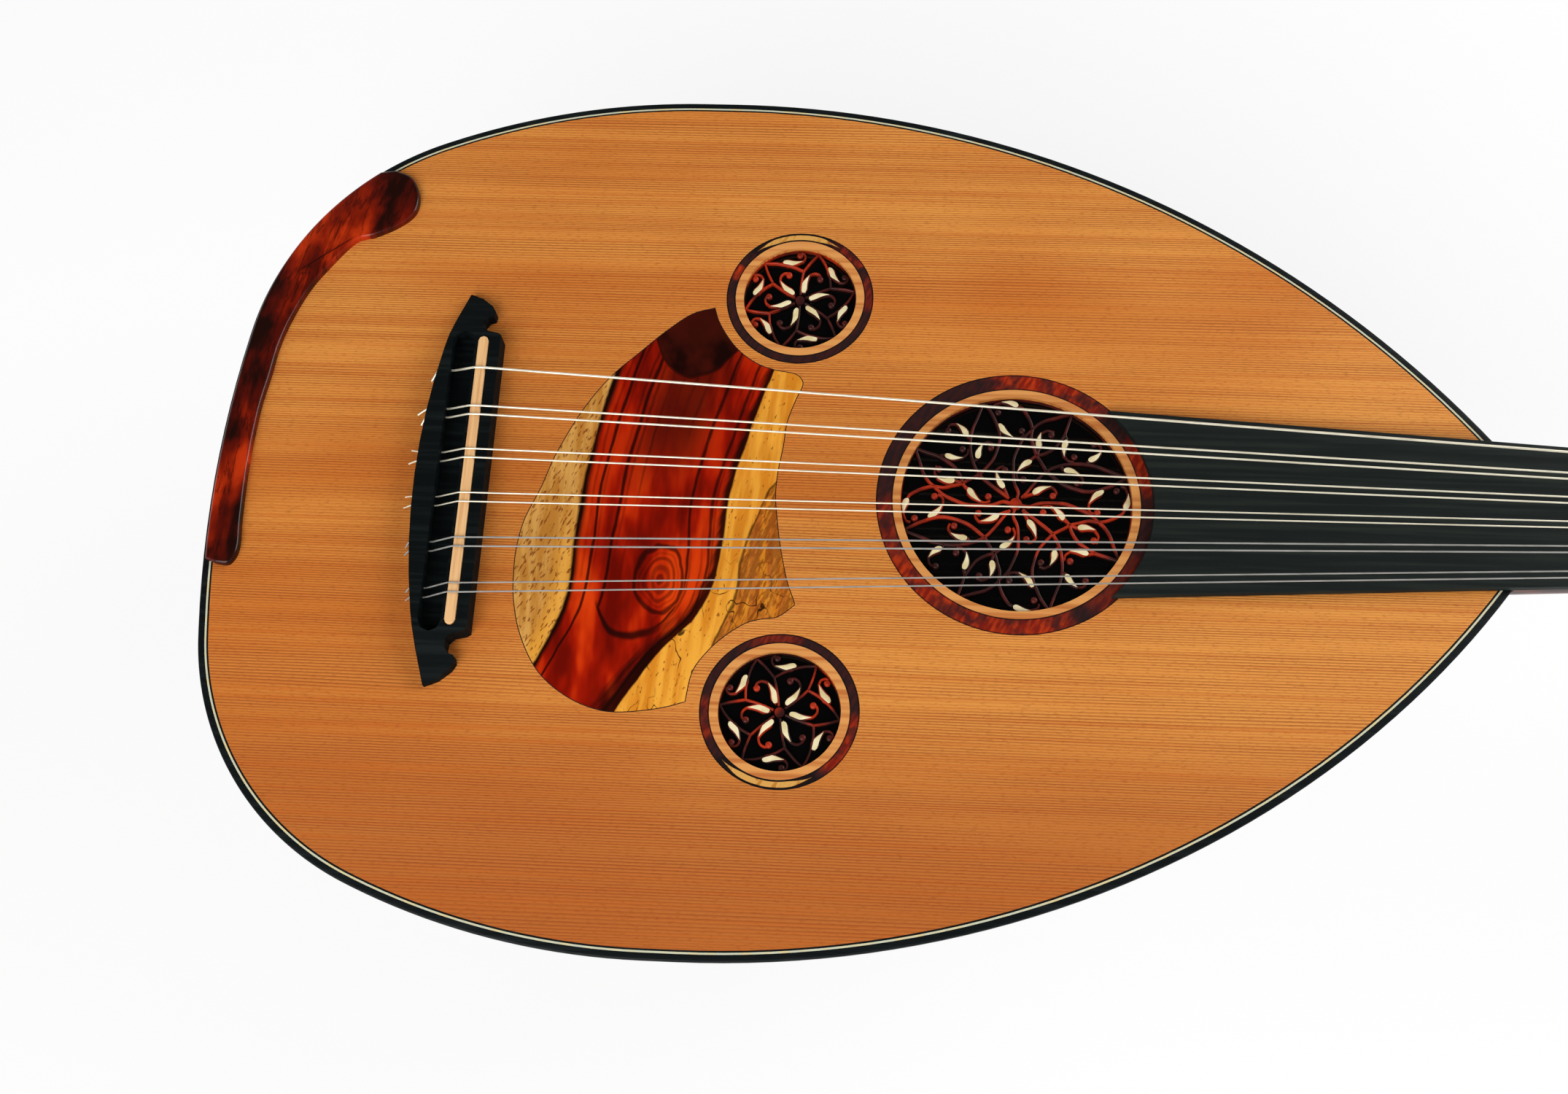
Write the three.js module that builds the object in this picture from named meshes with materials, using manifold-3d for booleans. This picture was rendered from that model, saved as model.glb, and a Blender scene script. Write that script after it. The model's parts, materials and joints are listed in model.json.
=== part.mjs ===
// A Turkish oud: a short-necked lute with a bowl of thirteen ribs, three carved rosettes,
// eleven strings and eleven friction pegs. Lengths are millimetres and +Z is up.
// The body is laid out from its tail: x runs to the pegbox, y to the bass side, and z = 0 is
// the soundboard's top face. The finished group is moved so that the origin is the middle of
// the flat facet under the bowl.
import * as THREE from "three";
import { mergeVertices } from "three/addons/utils/BufferGeometryUtils.js";
import Module from "manifold-3d";

const wasm = await Module();
wasm.setup();

// Clearances
const FIT_GAP = 0.3;
const RUNNING_GAP = 0.1;
const OVERRUN = 3;

// Body outline: four arcs and a short straight, each turning on from the one before
const TAIL_RADIUS = 463;
const TAIL_TURN_DEG = 8;
const SHOULDER_RADIUS = 113;
const SHOULDER_TURN_DEG = 66.7;
const FLANK_RADIUS = 271;
const REST_FLAT_LENGTH = 12;
const NECK_SIDE_RADIUS = 375.6;
const JOINT_HALF_WIDTH = 29;

// Bowl
const BOWL_DEPTH = 178;
const RIB_COUNT = 13;
const RIB_THICKNESS = 3.6;
const RIB_TAIL_RADIUS = 16;
const NECK_BLOCK_HALF_WIDTH = 63;
const TAIL_BLOCK_RADIUS = 48;
const TAIL_BLOCK_LENGTH = 26;
const CLASP_THICKNESS = 2;
const CLASP_DROP = 8;

// Soundboard, its edge and its braces
const SOUNDBOARD_THICKNESS = 2;
const BINDING_WIDTH = 2.6;
const PURFLING_WIDTH = 1.2;
const PURFLING_DEPTH = 0.8;
const BRACE_WIDTH = 7;
const BRACE_HEIGHT = 14;
const BRACE_LOWER_PLACE = 150;
const BRACE_MIDDLE_PLACE = 254;
const BRACE_UPPER_PLACE = 378;

// Sound holes, their rosettes and the inlaid rings
const MAIN_HOLE_PLACE = 307.6;
const MAIN_HOLE_RADIUS = 43.5;
const SMALL_HOLE_PLACE = 222.3;
const SMALL_HOLE_OFFSET = 84.4;
const SMALL_HOLE_RADIUS = 22.3;
const RING_THICKNESS = 1.2;
const MAIN_RING_INNER_RADIUS = 46.5;
const MAIN_RING_OUTER_RADIUS = 52.8;
const SMALL_RING_INNER_RADIUS = 25.5;
const SMALL_RING_OUTER_RADIUS = 29.1;
const ROSETTE_THICKNESS = 1.6;
const ROSETTE_RIM_WIDTH = 4;
const ROSETTE_RIM_SHOW = 0.3;
const MAIN_STRAND_WIDTH = 1.2;
const MAIN_HUB_RADIUS = 3.3;
const MAIN_LEAF_WIDTH = 2.5;
const SMALL_STRAND_WIDTH = 1;
const SMALL_HUB_RADIUS = 2.6;
const SMALL_LEAF_WIDTH = 2.3;
const HUB_SIDES = 12;
const BASS_ROSETTE_TURN_DEG = 7;

// Pickguard, let into the soundboard
const PICKGUARD_PLACE = 120;
const PICKGUARD_LENGTH = 106;
const PICKGUARD_HALF_WIDTH = 87;
const PICKGUARD_THICKNESS = 1;

// Armrest, on the soundboard along the tail
const ARMREST_THICKNESS = 3;
const ARMREST_REACH = 65;
const ARMREST_SPAN = 138;
const ARMREST_FOOT_SPAN = 31;
const ARMREST_TURN_DEG = 52;
const ARMREST_ROUNDING = 1.2;
const ARMREST_INSET = 1.6;

// Bridge and its saddle strip
const BRIDGE_PLACE = 80.3;
const BRIDGE_LENGTH = 26.7;
const BRIDGE_HALF_WIDTH = 80.5;
const BRIDGE_HEIGHT = 9;
const BRIDGE_BLOCK_HALF_WIDTH = 59.5;
const BRIDGE_TIP_HEIGHT = 3;
const BRIDGE_TIP_SETBACK = 11.5;
const CHANNEL_PLACE = 88.5;
const CHANNEL_WIDTH = 8.8;
const CHANNEL_HALF_LENGTH = 61.5;
const CHANNEL_FLOOR = 2.5;
const STRING_HOLE_HEIGHT = 5;
const STRING_HOLE_SIDES = 8;
const SADDLE_PLACE = 98.5;
const SADDLE_WIDTH = 4;
const SADDLE_HALF_LENGTH = 59;
const SADDLE_PROUD = 0.7;
const SADDLE_SEAT_DEPTH = 4;

// Neck, fingerboard and nut
const SCALE_LENGTH = 585;
const FINGERBOARD_THICKNESS = 3.3;
const FINGERBOARD_RING_LAP = 1.8;
const NUT_HALF_WIDTH = 17.6;
const NUT_LENGTH = 5;
const NUT_PROUD = 1.6;
const NUT_SLOT_DEPTH = 0.8;
const NECK_NUT_DEPTH = 21;

// Pegbox, bent back from the neck
const PEGBOX_BEND_DEG = 48;
const PEGBOX_DROP = 4;
const PEGBOX_LENGTH = 219.6;
const PEGBOX_HEAD_LENGTH = 14;
const PEGBOX_ROOT_DEPTH = 24;
const PEGBOX_END_DEPTH = 14;
const PEGBOX_END_HALF_WIDTH = 10;
const PEGBOX_WALL = 4.3;
const PEGBOX_BACK_THICKNESS = 4;
const PEGBOX_END_BLOCK = 10;
const PEGBOX_ROOT_BLOCK = 12;
const PEGBOX_ROOT_BLOCK_DROP = 9;

// Pegs
const PEG_FIRST_PLACE = 30;
const PEG_LAST_SETBACK = 17.6;
const PEG_DEPTH_SHARE = 0.57;
const PEG_RADIUS = 4.2;
const PEG_TAPER_SHARE = 1 / 60;
const PEG_TIP_PROUD = 2;
const PEG_COLLAR_RADIUS = 5.8;
const PEG_COLLAR_LENGTH = 4;
const PEG_STEM_RADIUS = 3.4;
const PEG_THUMB_LENGTH = 20;
const PEG_THUMB_RADIUS = 9.5;
const PEG_THUMB_FLAT_SHARE = 0.4;
const PEG_REST_TURNS_DEG = [12, 68, 35, 150, 95, 20, 128, 50, 165, 80, 5];
const PEG_SIDES = 12;

// Strings, from the bass side: a single string and five pairs
const COURSE_COUNT = 6;
const COURSE_SPACING_SADDLE = 17.95;
const COURSE_SPACING_NUT = 6.1;
const PAIR_SPACING_SADDLE = 3.6;
const PAIR_SPACING_NUT = 2;
const BASS_STRING_RADIUS = 0.48;
const STRING_RADIUS_SHARES = [1, 0.82, 0.82, 0.72, 0.72, 0.62, 0.62, 0.7, 0.7, 0.63, 0.63];
const WOUND_STRINGS = 7;
const STRING_NAMES = [
  "string_1_bass", "string_2a", "string_2b", "string_3a", "string_3b", "string_4a",
  "string_4b", "string_5a", "string_5b", "string_6a", "string_6b",
];
const STRING_OF_PEG = [10, 0, 9, 1, 8, 2, 7, 3, 6, 4, 5];
const STRING_TAIL_LENGTH = 5;
const STRING_TAIL_DROP = 2;
const STRING_HOLE_CLEARANCE = 0.4;
const TIE_SPREAD_SHARE = 1.02;
const WINDING_TURNS = 3;
const WINDING_STEPS = 6;
const WINDING_GAP = 0.5;
const WINDING_PLACE_SHARE = 0.5;
const STRING_SIDES = 5;

// Shapes drawn as shares of the sizes that they follow: [along x, across y]
// The pickguard's outline, of its length and half width, from the bass-side corner round the tail side
const PICKGUARD_SHARES = [
  [0.651, 0.908], [0.566, 0.874], [0.472, 0.782], [0.377, 0.667], [0.302, 0.575], [0.236, 0.471],
  [0.17, 0.333], [0.104, 0.149], [0.066, 0], [0.019, -0.149], [0, -0.287], [0, -0.402], [0.009, -0.517],
  [0.038, -0.655], [0.094, -0.793], [0.16, -0.885], [0.255, -0.96], [0.358, -1], [0.453, -1],
  [0.566, -0.977], [0.642, -0.948], [0.66, -0.816], [0.708, -0.724], [0.764, -0.655], [0.83, -0.598],
  [0.887, -0.575], [0.943, -0.563], [0.991, -0.517], [1, -0.494], [0.972, -0.402], [0.943, -0.253],
  [0.925, -0.115], [0.915, 0], [0.92, 0.115], [0.934, 0.23], [0.943, 0.345], [0.972, 0.46],
  [0.991, 0.517], [0.991, 0.552], [0.962, 0.586], [0.887, 0.603], [0.821, 0.632], [0.755, 0.69],
  [0.708, 0.759], [0.67, 0.839],
];
// The armrest's head and inner side, of its reach and span, from the head to the foot
const ARMREST_SHARES = [
  [0.834, 0.996], [0.942, 0.971], [1, 0.913], [0.988, 0.854], [0.895, 0.81], [0.757, 0.775],
  [0.635, 0.753], [0.482, 0.659], [0.391, 0.587], [0.314, 0.493], [0.268, 0.407], [0.245, 0.314],
  [0.215, 0.205], [0.203, 0.043], [0.215, -0.119], [0.229, -0.212], [0.192, -0.256], [0.123, -0.259],
  [0.046, -0.246],
];
// The bridge's front on the bass side, of its length and half width, from the block to the wing's tip
const BRIDGE_FRONT_SHARES = [
  [1, 0.745], [0.944, 0.757], [0.794, 0.768], [0.712, 0.795], [0.704, 0.83], [0.753, 0.855],
  [0.835, 0.865], [0.85, 0.892], [0.794, 0.925], [0.625, 0.973], [0.431, 1],
];
// The profile of a peg's thumb piece with its end button, of its radius and length
const PEG_THUMB_SHARES = [
  [0, 0], [0.3, 0.03], [0.72, 0.22], [1, 0.53], [0.93, 0.73], [0.56, 0.91], [0.26, 0.94],
  [0.3, 1.03], [0, 1.1],
];
// One quarter of the main rosette's strands, of the hole's radius
const MAIN_STRAND_SHARES = [
  [[0.05, 0.06], [0.152, 0.186], [0.267, 0.317]],
  [[0.267, 0.317], [0.18, 0.467], [0.136, 0.632], [0.115, 0.825], [0.03, 0.935]],
  [[0.5, 0.88], [0.267, 0.805], [0.145, 0.713]],
  [[0.5, 0.88], [0.432, 0.676], [0.331, 0.531], [0.179, 0.46], [0.126, 0.418]],
  [[0.01, 0.05], [-0.014, 0.207], [-0.014, 0.437], [0.071, 0.632], [0.138, 0.703]],
  [[0.267, 0.317], [0.423, 0.193], [0.605, 0.14], [0.768, 0.172], [0.97, 0.279]],
  [[0.267, 0.317], [0.416, 0.382], [0.605, 0.395], [0.805, 0.338], [0.97, 0.279]],
  [[0.07, 0.07], [0.145, 0.101]],
  [[0.389, 0.372], [0.416, 0.333]],
  [[0.186, 0.47], [0.205, 0.529]],
  [[0.432, 0.676], [0.446, 0.621]],
  [[0.618, 0.395], [0.632, 0.425]],
];
// One quarter of the main rosette's leaves, each from its round head to its pointed tail
const MAIN_LEAF_SHARES = [
  [[0.13, 0.09], [0.294, 0.17]],
  [[0.145, 0.43], [0.018, 0.31]],
  [[0.4, 0.34], [0.552, 0.294]],
  [[0.2, 0.51], [0.218, 0.674]],
  [[0.775, 0.163], [0.637, 0.032]],
  [[0.448, 0.64], [0.421, 0.471]],
  [[0.62, 0.41], [0.743, 0.513]],
  [[0.932, -0.035], [0.962, 0.115]],
];
// One sixth of a small rosette
const SMALL_STRAND_SHARES = [
  [[0.1, -0.04], [0.36, -0.138], [0.568, -0.196]],
  [[0.568, -0.196], [0.985, -0.09]],
  [[0.985, -0.09], [0.84, 0.13], [0.64, 0.31], [0.453, 0.394]],
];
const SMALL_LEAF_SHARES = [
  [[0.13, 0.01], [0.48, -0.075]],
  [[0.82, 0.155], [0.61, 0.41]],
];

// Colours of the woods, bone and metal
const CEDAR = { color: 0xc47a35, roughness: 0.6, metalness: 0 };
const EBONY = { color: 0x20242a, roughness: 0.4, metalness: 0 };
const ROSEWOOD = { color: 0x3a1712, roughness: 0.3, metalness: 0 };
const COCOBOLO = { color: 0x8a2f14, roughness: 0.3, metalness: 0 };
const MAHOGANY = { color: 0x5a2c1a, roughness: 0.45, metalness: 0 };
const SPRUCE = { color: 0xd8b883, roughness: 0.7, metalness: 0 };
const BONE = { color: 0xe6dcc0, roughness: 0.4, metalness: 0 };
const PEACH_WOOD = { color: 0xe0b47c, roughness: 0.5, metalness: 0 };
const SILVER = { color: 0xd8d8d2, roughness: 0.25, metalness: 1 };
const NYLON = { color: 0xc9c9c6, roughness: 0.3, metalness: 0 };

// Places worked out from the sizes above
const DEG = Math.PI / 180;
const QUARTER_DEG = 90;
const HALF_TURN_DEG = 180;
const HEADING_ARCS = [
  { radius: TAIL_RADIUS, from: 0, to: TAIL_TURN_DEG, steps: 1 },
  { radius: SHOULDER_RADIUS, from: TAIL_TURN_DEG, to: SHOULDER_TURN_DEG, steps: 6 },
  { radius: FLANK_RADIUS, from: SHOULDER_TURN_DEG, to: QUARTER_DEG, steps: 3 },
  { radius: NECK_SIDE_RADIUS, from: QUARTER_DEG, to: HALF_TURN_DEG, steps: 6 },
];
const HALF_WIDTH = edgePoint(QUARTER_DEG, 0)[1];
const JOINT_HEADING_DEG = neckHeading(JOINT_HALF_WIDTH);
const JOINT_PLACE = edgePoint(JOINT_HEADING_DEG, 0)[0];
const REST_PLACE = edgePoint(QUARTER_DEG, 0)[0] + REST_FLAT_LENGTH / 2;
const STATION_HEADINGS_DEG = [
  tailHeading(RIB_TAIL_RADIUS),
  tailHeading(TAIL_BLOCK_RADIUS),
  neckHeading(NECK_BLOCK_HALF_WIDTH),
  ...HEADING_ARCS.flatMap(({ from, to, steps }) => {
    const end = Math.min(to, JOINT_HEADING_DEG);
    const headings = Array.from({ length: steps - 1 }, (_, k) => from + ((end - from) * (k + 1)) / steps);
    return [...headings, end];
  }),
].sort((a, b) => a - b);
const RIB_TURN = Math.PI / RIB_COUNT;
const DEPTH_RATIO = BOWL_DEPTH / (HALF_WIDTH * Math.cos(RIB_TURN / 2));
const FACET_SLOPE = Math.tan(RIB_TURN / 2) / DEPTH_RATIO;
const SADDLE_MIDDLE = SADDLE_PLACE + SADDLE_WIDTH / 2;
const NUT_PLACE = SADDLE_MIDDLE + SCALE_LENGTH;
const NECK_END = NUT_PLACE + NUT_LENGTH;
const NUT_TOP = FINGERBOARD_THICKNESS + NUT_PROUD;
const PEGBOX_BEND = PEGBOX_BEND_DEG * DEG;
const WALL_END = PEGBOX_LENGTH - PEGBOX_HEAD_LENGTH;
const PEG_SPACING = (WALL_END - PEG_LAST_SETBACK - PEG_FIRST_PLACE) / (STRING_OF_PEG.length - 1);
const STRING_RADII = STRING_RADIUS_SHARES.map((share) => share * BASS_STRING_RADIUS);

// A point on the body's edge where it heads headingDeg away from straight across the tail,
// taken in from the edge by inset along the edge's own normal: [x, half width]
function edgePoint(headingDeg, inset) {
  let x = headingDeg > QUARTER_DEG ? REST_FLAT_LENGTH : 0;
  let width = 0;
  for (const arc of HEADING_ARCS) {
    const end = Math.min(headingDeg, arc.to);
    if (end > arc.from) {
      x += arc.radius * (Math.cos(arc.from * DEG) - Math.cos(end * DEG));
      width += arc.radius * (Math.sin(end * DEG) - Math.sin(arc.from * DEG));
    }
  }
  return [x + inset * Math.cos(headingDeg * DEG), width - inset * Math.sin(headingDeg * DEG)];
}

// The heading at which the tail arc has a given half width
function tailHeading(width) {
  return Math.asin(width / TAIL_RADIUS) / DEG;
}

// The heading at which the neck-side arc has a given half width
function neckHeading(width) {
  const sine = 1 - (HALF_WIDTH - width) / NECK_SIDE_RADIUS;
  return HALF_TURN_DEG - Math.asin(sine) / DEG;
}

// Stations along half of the edge between two headings: [x, half width] for each
function edgeStations(inset, fromDeg, toDeg) {
  const between = STATION_HEADINGS_DEG.filter((deg) => deg > fromDeg && deg < toDeg);
  return [fromDeg, ...between, toDeg].flatMap((deg) => {
    const point = edgePoint(deg, inset);
    return deg === QUARTER_DEG ? [point, [point[0] + REST_FLAT_LENGTH, point[1]]] : [point];
  });
}

// The half width of the body at x, taken in by inset
function halfWidthAt(x, inset) {
  const stations = edgeStations(inset, 0, JOINT_HEADING_DEG);
  const next = stations.findIndex((point) => point[0] > x);
  const [before, after] = [stations[next - 1], stations[next]];
  return before[1] + ((x - before[0]) * (after[1] - before[1])) / (after[0] - before[0]);
}

// The whole outline as one loop, taken in by inset, with a straight end at endX
function bodyLoop(inset, endX) {
  const side = edgeStations(inset, 0, JOINT_HEADING_DEG);
  side.push([endX, side[side.length - 1][1]]);
  const mirrored = side.slice(1).map(([x, y]) => [x, -y]).reverse();
  return [...mirrored, ...side];
}

// A closed geometry through loops of equal length, each a list of [x, y, z], capped at both ends
function loft(loops) {
  const count = loops[0].length;
  const positions = loops.flat(2);
  const faces = [];
  for (let j = 0; j + 1 < loops.length; j += 1) {
    for (let i = 0; i < count; i += 1) {
      const a = j * count + i;
      const b = j * count + ((i + 1) % count);
      faces.push(a, b, b + count, a, b + count, a + count);
    }
  }
  for (const [start, reversed] of [[0, true], [(loops.length - 1) * count, false]]) {
    for (const [a, b, c] of capTriangles(loops[start / count])) {
      faces.push(...(reversed ? [start + c, start + b, start + a] : [start + a, start + b, start + c]));
    }
  }
  const geometry = new THREE.BufferGeometry();
  geometry.setAttribute("position", new THREE.Float32BufferAttribute(positions, 3));
  geometry.setIndex(faces);
  return facingOut(geometry);
}

// Triangles across one flat loop, in the loop's own order
function capTriangles(loop) {
  const normal = new THREE.Vector3();
  loop.forEach((p, i) => {
    const q = loop[(i + 1) % loop.length];
    normal.x += (p[1] - q[1]) * (p[2] + q[2]);
    normal.y += (p[2] - q[2]) * (p[0] + q[0]);
    normal.z += (p[0] - q[0]) * (p[1] + q[1]);
  });
  const sizes = normal.toArray().map(Math.abs);
  const drop = sizes.indexOf(Math.max(...sizes));
  const flat = loop.map((p) => new THREE.Vector2(p[(drop + 1) % 3], p[(drop + 2) % 3]));
  const triangles = THREE.ShapeUtils.triangulateShape(flat, []);
  return THREE.ShapeUtils.area(flat) < 0 ? triangles.map((t) => [...t].reverse()) : triangles;
}

// The volume inside a geometry, negative where its faces point inwards
function signedVolume(geometry) {
  const position = geometry.getAttribute("position");
  const index = geometry.getIndex();
  const [a, b, c] = [new THREE.Vector3(), new THREE.Vector3(), new THREE.Vector3()];
  let volume = 0;
  for (let i = 0; i < index.count; i += 3) {
    a.fromBufferAttribute(position, index.getX(i));
    b.fromBufferAttribute(position, index.getX(i + 1));
    c.fromBufferAttribute(position, index.getX(i + 2));
    volume += a.dot(b.cross(c)) / 6;
  }
  return volume;
}

// The same geometry with its faces turned outwards
function facingOut(geometry) {
  if (signedVolume(geometry) < 0) {
    geometry.setIndex(Array.from(geometry.getIndex().array).reverse());
  }
  return geometry;
}

// A prism through flat outlines of equal length, each { outline, z }
function stack(layers) {
  return loft(layers.map(({ outline, z }) => outline.map(([x, y]) => [x, y, z])));
}

// A plain prism between two heights
function prism(outline, low, high) {
  return stack([{ outline, z: low }, { outline, z: high }]);
}

// A box from its lowest to its highest corner
function boxBetween(low, high) {
  const size = low.map((value, i) => high[i] - value);
  const middle = low.map((value, i) => (high[i] + value) / 2);
  return new THREE.BoxGeometry(...size).translate(...middle);
}

// An outline moved outwards by distance along the mean normal of its neighbouring sides
function grown(outline, distance) {
  const turn = Math.sign(THREE.ShapeUtils.area(outline.map(([x, y]) => new THREE.Vector2(x, y))));
  return outline.map((point, i) => {
    const before = outline[(i + outline.length - 1) % outline.length];
    const after = outline[(i + 1) % outline.length];
    const one = new THREE.Vector2(point[1] - before[1], before[0] - point[0]).normalize();
    const two = new THREE.Vector2(after[1] - point[1], point[0] - after[0]).normalize();
    const normal = one.clone().add(two).normalize();
    const reach = (turn * distance) / Math.max(normal.dot(one), 0.5);
    return [point[0] + normal.x * reach, point[1] + normal.y * reach];
  });
}

// A regular outline round a centre
function round(centre, radius, sides) {
  return Array.from({ length: sides }, (_, i) => {
    const angle = (2 * Math.PI * i) / sides;
    return [centre[0] + radius * Math.cos(angle), centre[1] + radius * Math.sin(angle)];
  });
}

// A ribbon of constant width along an open line of points
function ribbon(points, width) {
  const left = [];
  const right = [];
  points.forEach((point, i) => {
    const before = points[Math.max(i - 1, 0)];
    const after = points[Math.min(i + 1, points.length - 1)];
    const normal = new THREE.Vector2(before[1] - after[1], after[0] - before[0]).normalize();
    left.push([point[0] + (normal.x * width) / 2, point[1] + (normal.y * width) / 2]);
    right.push([point[0] - (normal.x * width) / 2, point[1] - (normal.y * width) / 2]);
  });
  return [...left, ...right.reverse()];
}

// A leaf: a round head that narrows to a point at its tail
function leaf(head, tail, width) {
  const along = new THREE.Vector2(tail[0] - head[0], tail[1] - head[1]);
  const across = new THREE.Vector2(-along.y, along.x).normalize().multiplyScalar(width / 2);
  const places = [[0, 0.6], [0.35, 1]];
  const sides = [1, -1].map((sign) =>
    places.map(([far, wide]) => [
      head[0] + along.x * far + sign * across.x * wide,
      head[1] + along.y * far + sign * across.y * wide,
    ]),
  );
  return [...sides[0], [...tail], ...sides[1].reverse()];
}

// A three.js geometry as a solid that can be joined and cut
function solid(geometry) {
  const bare = geometry.clone();
  bare.deleteAttribute("normal");
  bare.deleteAttribute("uv");
  const merged = mergeVertices(bare);
  return new wasm.Manifold(
    new wasm.Mesh({
      numProp: 3,
      vertProperties: new Float32Array(merged.getAttribute("position").array),
      triVerts: new Uint32Array(merged.getIndex().array),
    }),
  );
}

// A solid's surface as a three.js geometry
function surface(body) {
  const mesh = body.getMesh();
  const geometry = new THREE.BufferGeometry();
  geometry.setAttribute("position", new THREE.Float32BufferAttribute(Array.from(mesh.vertProperties), 3));
  geometry.setIndex(Array.from(mesh.triVerts));
  return geometry;
}

// Geometries joined into one, then cut by others, with needless corners on flat faces taken out
function carve(parts, cutters) {
  let body = solid(parts[0]);
  for (const part of parts.slice(1)) {
    body = body.add(solid(part));
  }
  for (const cutter of cutters) {
    body = body.subtract(solid(cutter));
  }
  return surface(body.asOriginal().simplify());
}

function named(name, geometry, finish) {
  const mesh = new THREE.Mesh(geometry, new THREE.MeshStandardMaterial(finish));
  mesh.name = name;
  return mesh;
}

// The direction of the bowl's edge number i, as shares of the half width: [y, z]
function meridian(i) {
  return [Math.cos(i * RIB_TURN), -DEPTH_RATIO * Math.sin(i * RIB_TURN)];
}

// The bowl's cross-section at x, as a closed loop cut level at top
function bowlSection(x, width, top) {
  const loop = [];
  for (let i = 0; i <= RIB_COUNT; i += 1) {
    const [y, z] = meridian(i);
    loop.push([x, y * width, z * width]);
  }
  const drop = -top * FACET_SLOPE;
  loop[0] = [x, width - drop, top];
  loop[RIB_COUNT] = [x, drop - width, top];
  return loop;
}

// One facet of a rib at radius width, its two corners drawn in by half the seam, cut level at top
function ribFacet(x, width, i, top) {
  const [a, b] = [meridian(i), meridian(i + 1)].map(([y, z]) => new THREE.Vector2(y * width, z * width));
  const along = b.clone().sub(a);
  const seam = along.clone().normalize().multiplyScalar(FIT_GAP / 2);
  const start = i === 0 ? a.clone().addScaledVector(along, top / b.y) : a.clone().add(seam);
  const isLast = i === RIB_COUNT - 1;
  const end = isLast ? b.clone().addScaledVector(along, -top / a.y) : b.clone().sub(seam);
  return [[x, start.x, start.y], [x, end.x, end.y]];
}

function ribs() {
  const from = tailHeading(RIB_TAIL_RADIUS);
  const outer = edgeStations(0, from, JOINT_HEADING_DEG);
  const inner = edgeStations(RIB_THICKNESS, from, JOINT_HEADING_DEG);
  return Array.from({ length: RIB_COUNT }, (_, i) => {
    const loops = outer.map(([x, width], j) => {
      const [a, b] = ribFacet(x, width, i, -SOUNDBOARD_THICKNESS);
      const [c, d] = ribFacet(inner[j][0], inner[j][1], i, -SOUNDBOARD_THICKNESS);
      return [a, b, d, c];
    });
    return named(`rib_${String(i + 1).padStart(2, "0")}`, loft(loops), i % 2 ? ROSEWOOD : COCOBOLO);
  });
}

function tailBlock() {
  const inset = RIB_THICKNESS + FIT_GAP;
  const stations = edgeStations(inset, tailHeading(RIB_TAIL_RADIUS), tailHeading(TAIL_BLOCK_RADIUS));
  stations.push([stations[0][0] + TAIL_BLOCK_LENGTH, TAIL_BLOCK_RADIUS]);
  const loops = stations.map(([x, width]) => bowlSection(x, width, -SOUNDBOARD_THICKNESS));
  return named("tail_block", loft(loops), SPRUCE);
}

function neckBlock() {
  const inset = RIB_THICKNESS + FIT_GAP;
  const stations = edgeStations(inset, neckHeading(NECK_BLOCK_HALF_WIDTH), JOINT_HEADING_DEG);
  stations.push([JOINT_PLACE, stations[stations.length - 1][1]]);
  const loops = stations.map(([x, half]) => bowlSection(x, half, -SOUNDBOARD_THICKNESS));
  return named("neck_block", loft(loops), SPRUCE);
}

function endClasp() {
  const from = tailHeading(RIB_TAIL_RADIUS);
  const to = tailHeading(TAIL_BLOCK_RADIUS);
  const near = edgeStations(-FIT_GAP, from, to);
  const far = edgeStations(-FIT_GAP - CLASP_THICKNESS, from, to).reverse();
  const shell = loft([...near, ...far].map(([x, width]) => bowlSection(x, width, 0)));
  const above = boxBetween(
    [-TAIL_BLOCK_RADIUS, -TAIL_BLOCK_RADIUS - OVERRUN, -CLASP_DROP],
    [TAIL_BLOCK_RADIUS, TAIL_BLOCK_RADIUS + OVERRUN, OVERRUN],
  );
  return named("end_clasp", carve([shell], [above]), EBONY);
}

// The sound holes: each hole's place, size and ring, and the hand and the turn of its rosette, since
// the two small rosettes nearly mirror each other
const HOLES = [
  {
    suffix: "main", centre: [MAIN_HOLE_PLACE, 0], radius: MAIN_HOLE_RADIUS, sides: 36,
    inner: MAIN_RING_INNER_RADIUS, outer: MAIN_RING_OUTER_RADIUS, hand: 1, turnDeg: 0,
  },
  {
    suffix: "bass", centre: [SMALL_HOLE_PLACE, SMALL_HOLE_OFFSET], radius: SMALL_HOLE_RADIUS, sides: 24,
    inner: SMALL_RING_INNER_RADIUS, outer: SMALL_RING_OUTER_RADIUS, hand: -1,
    turnDeg: BASS_ROSETTE_TURN_DEG,
  },
  {
    suffix: "treble", centre: [SMALL_HOLE_PLACE, -SMALL_HOLE_OFFSET], radius: SMALL_HOLE_RADIUS, sides: 24,
    inner: SMALL_RING_INNER_RADIUS, outer: SMALL_RING_OUTER_RADIUS, hand: 1, turnDeg: 0,
  },
];

function pickguardOutline() {
  return PICKGUARD_SHARES.map(([along, across]) => [
    PICKGUARD_PLACE + along * PICKGUARD_LENGTH,
    across * PICKGUARD_HALF_WIDTH,
  ]);
}

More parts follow.
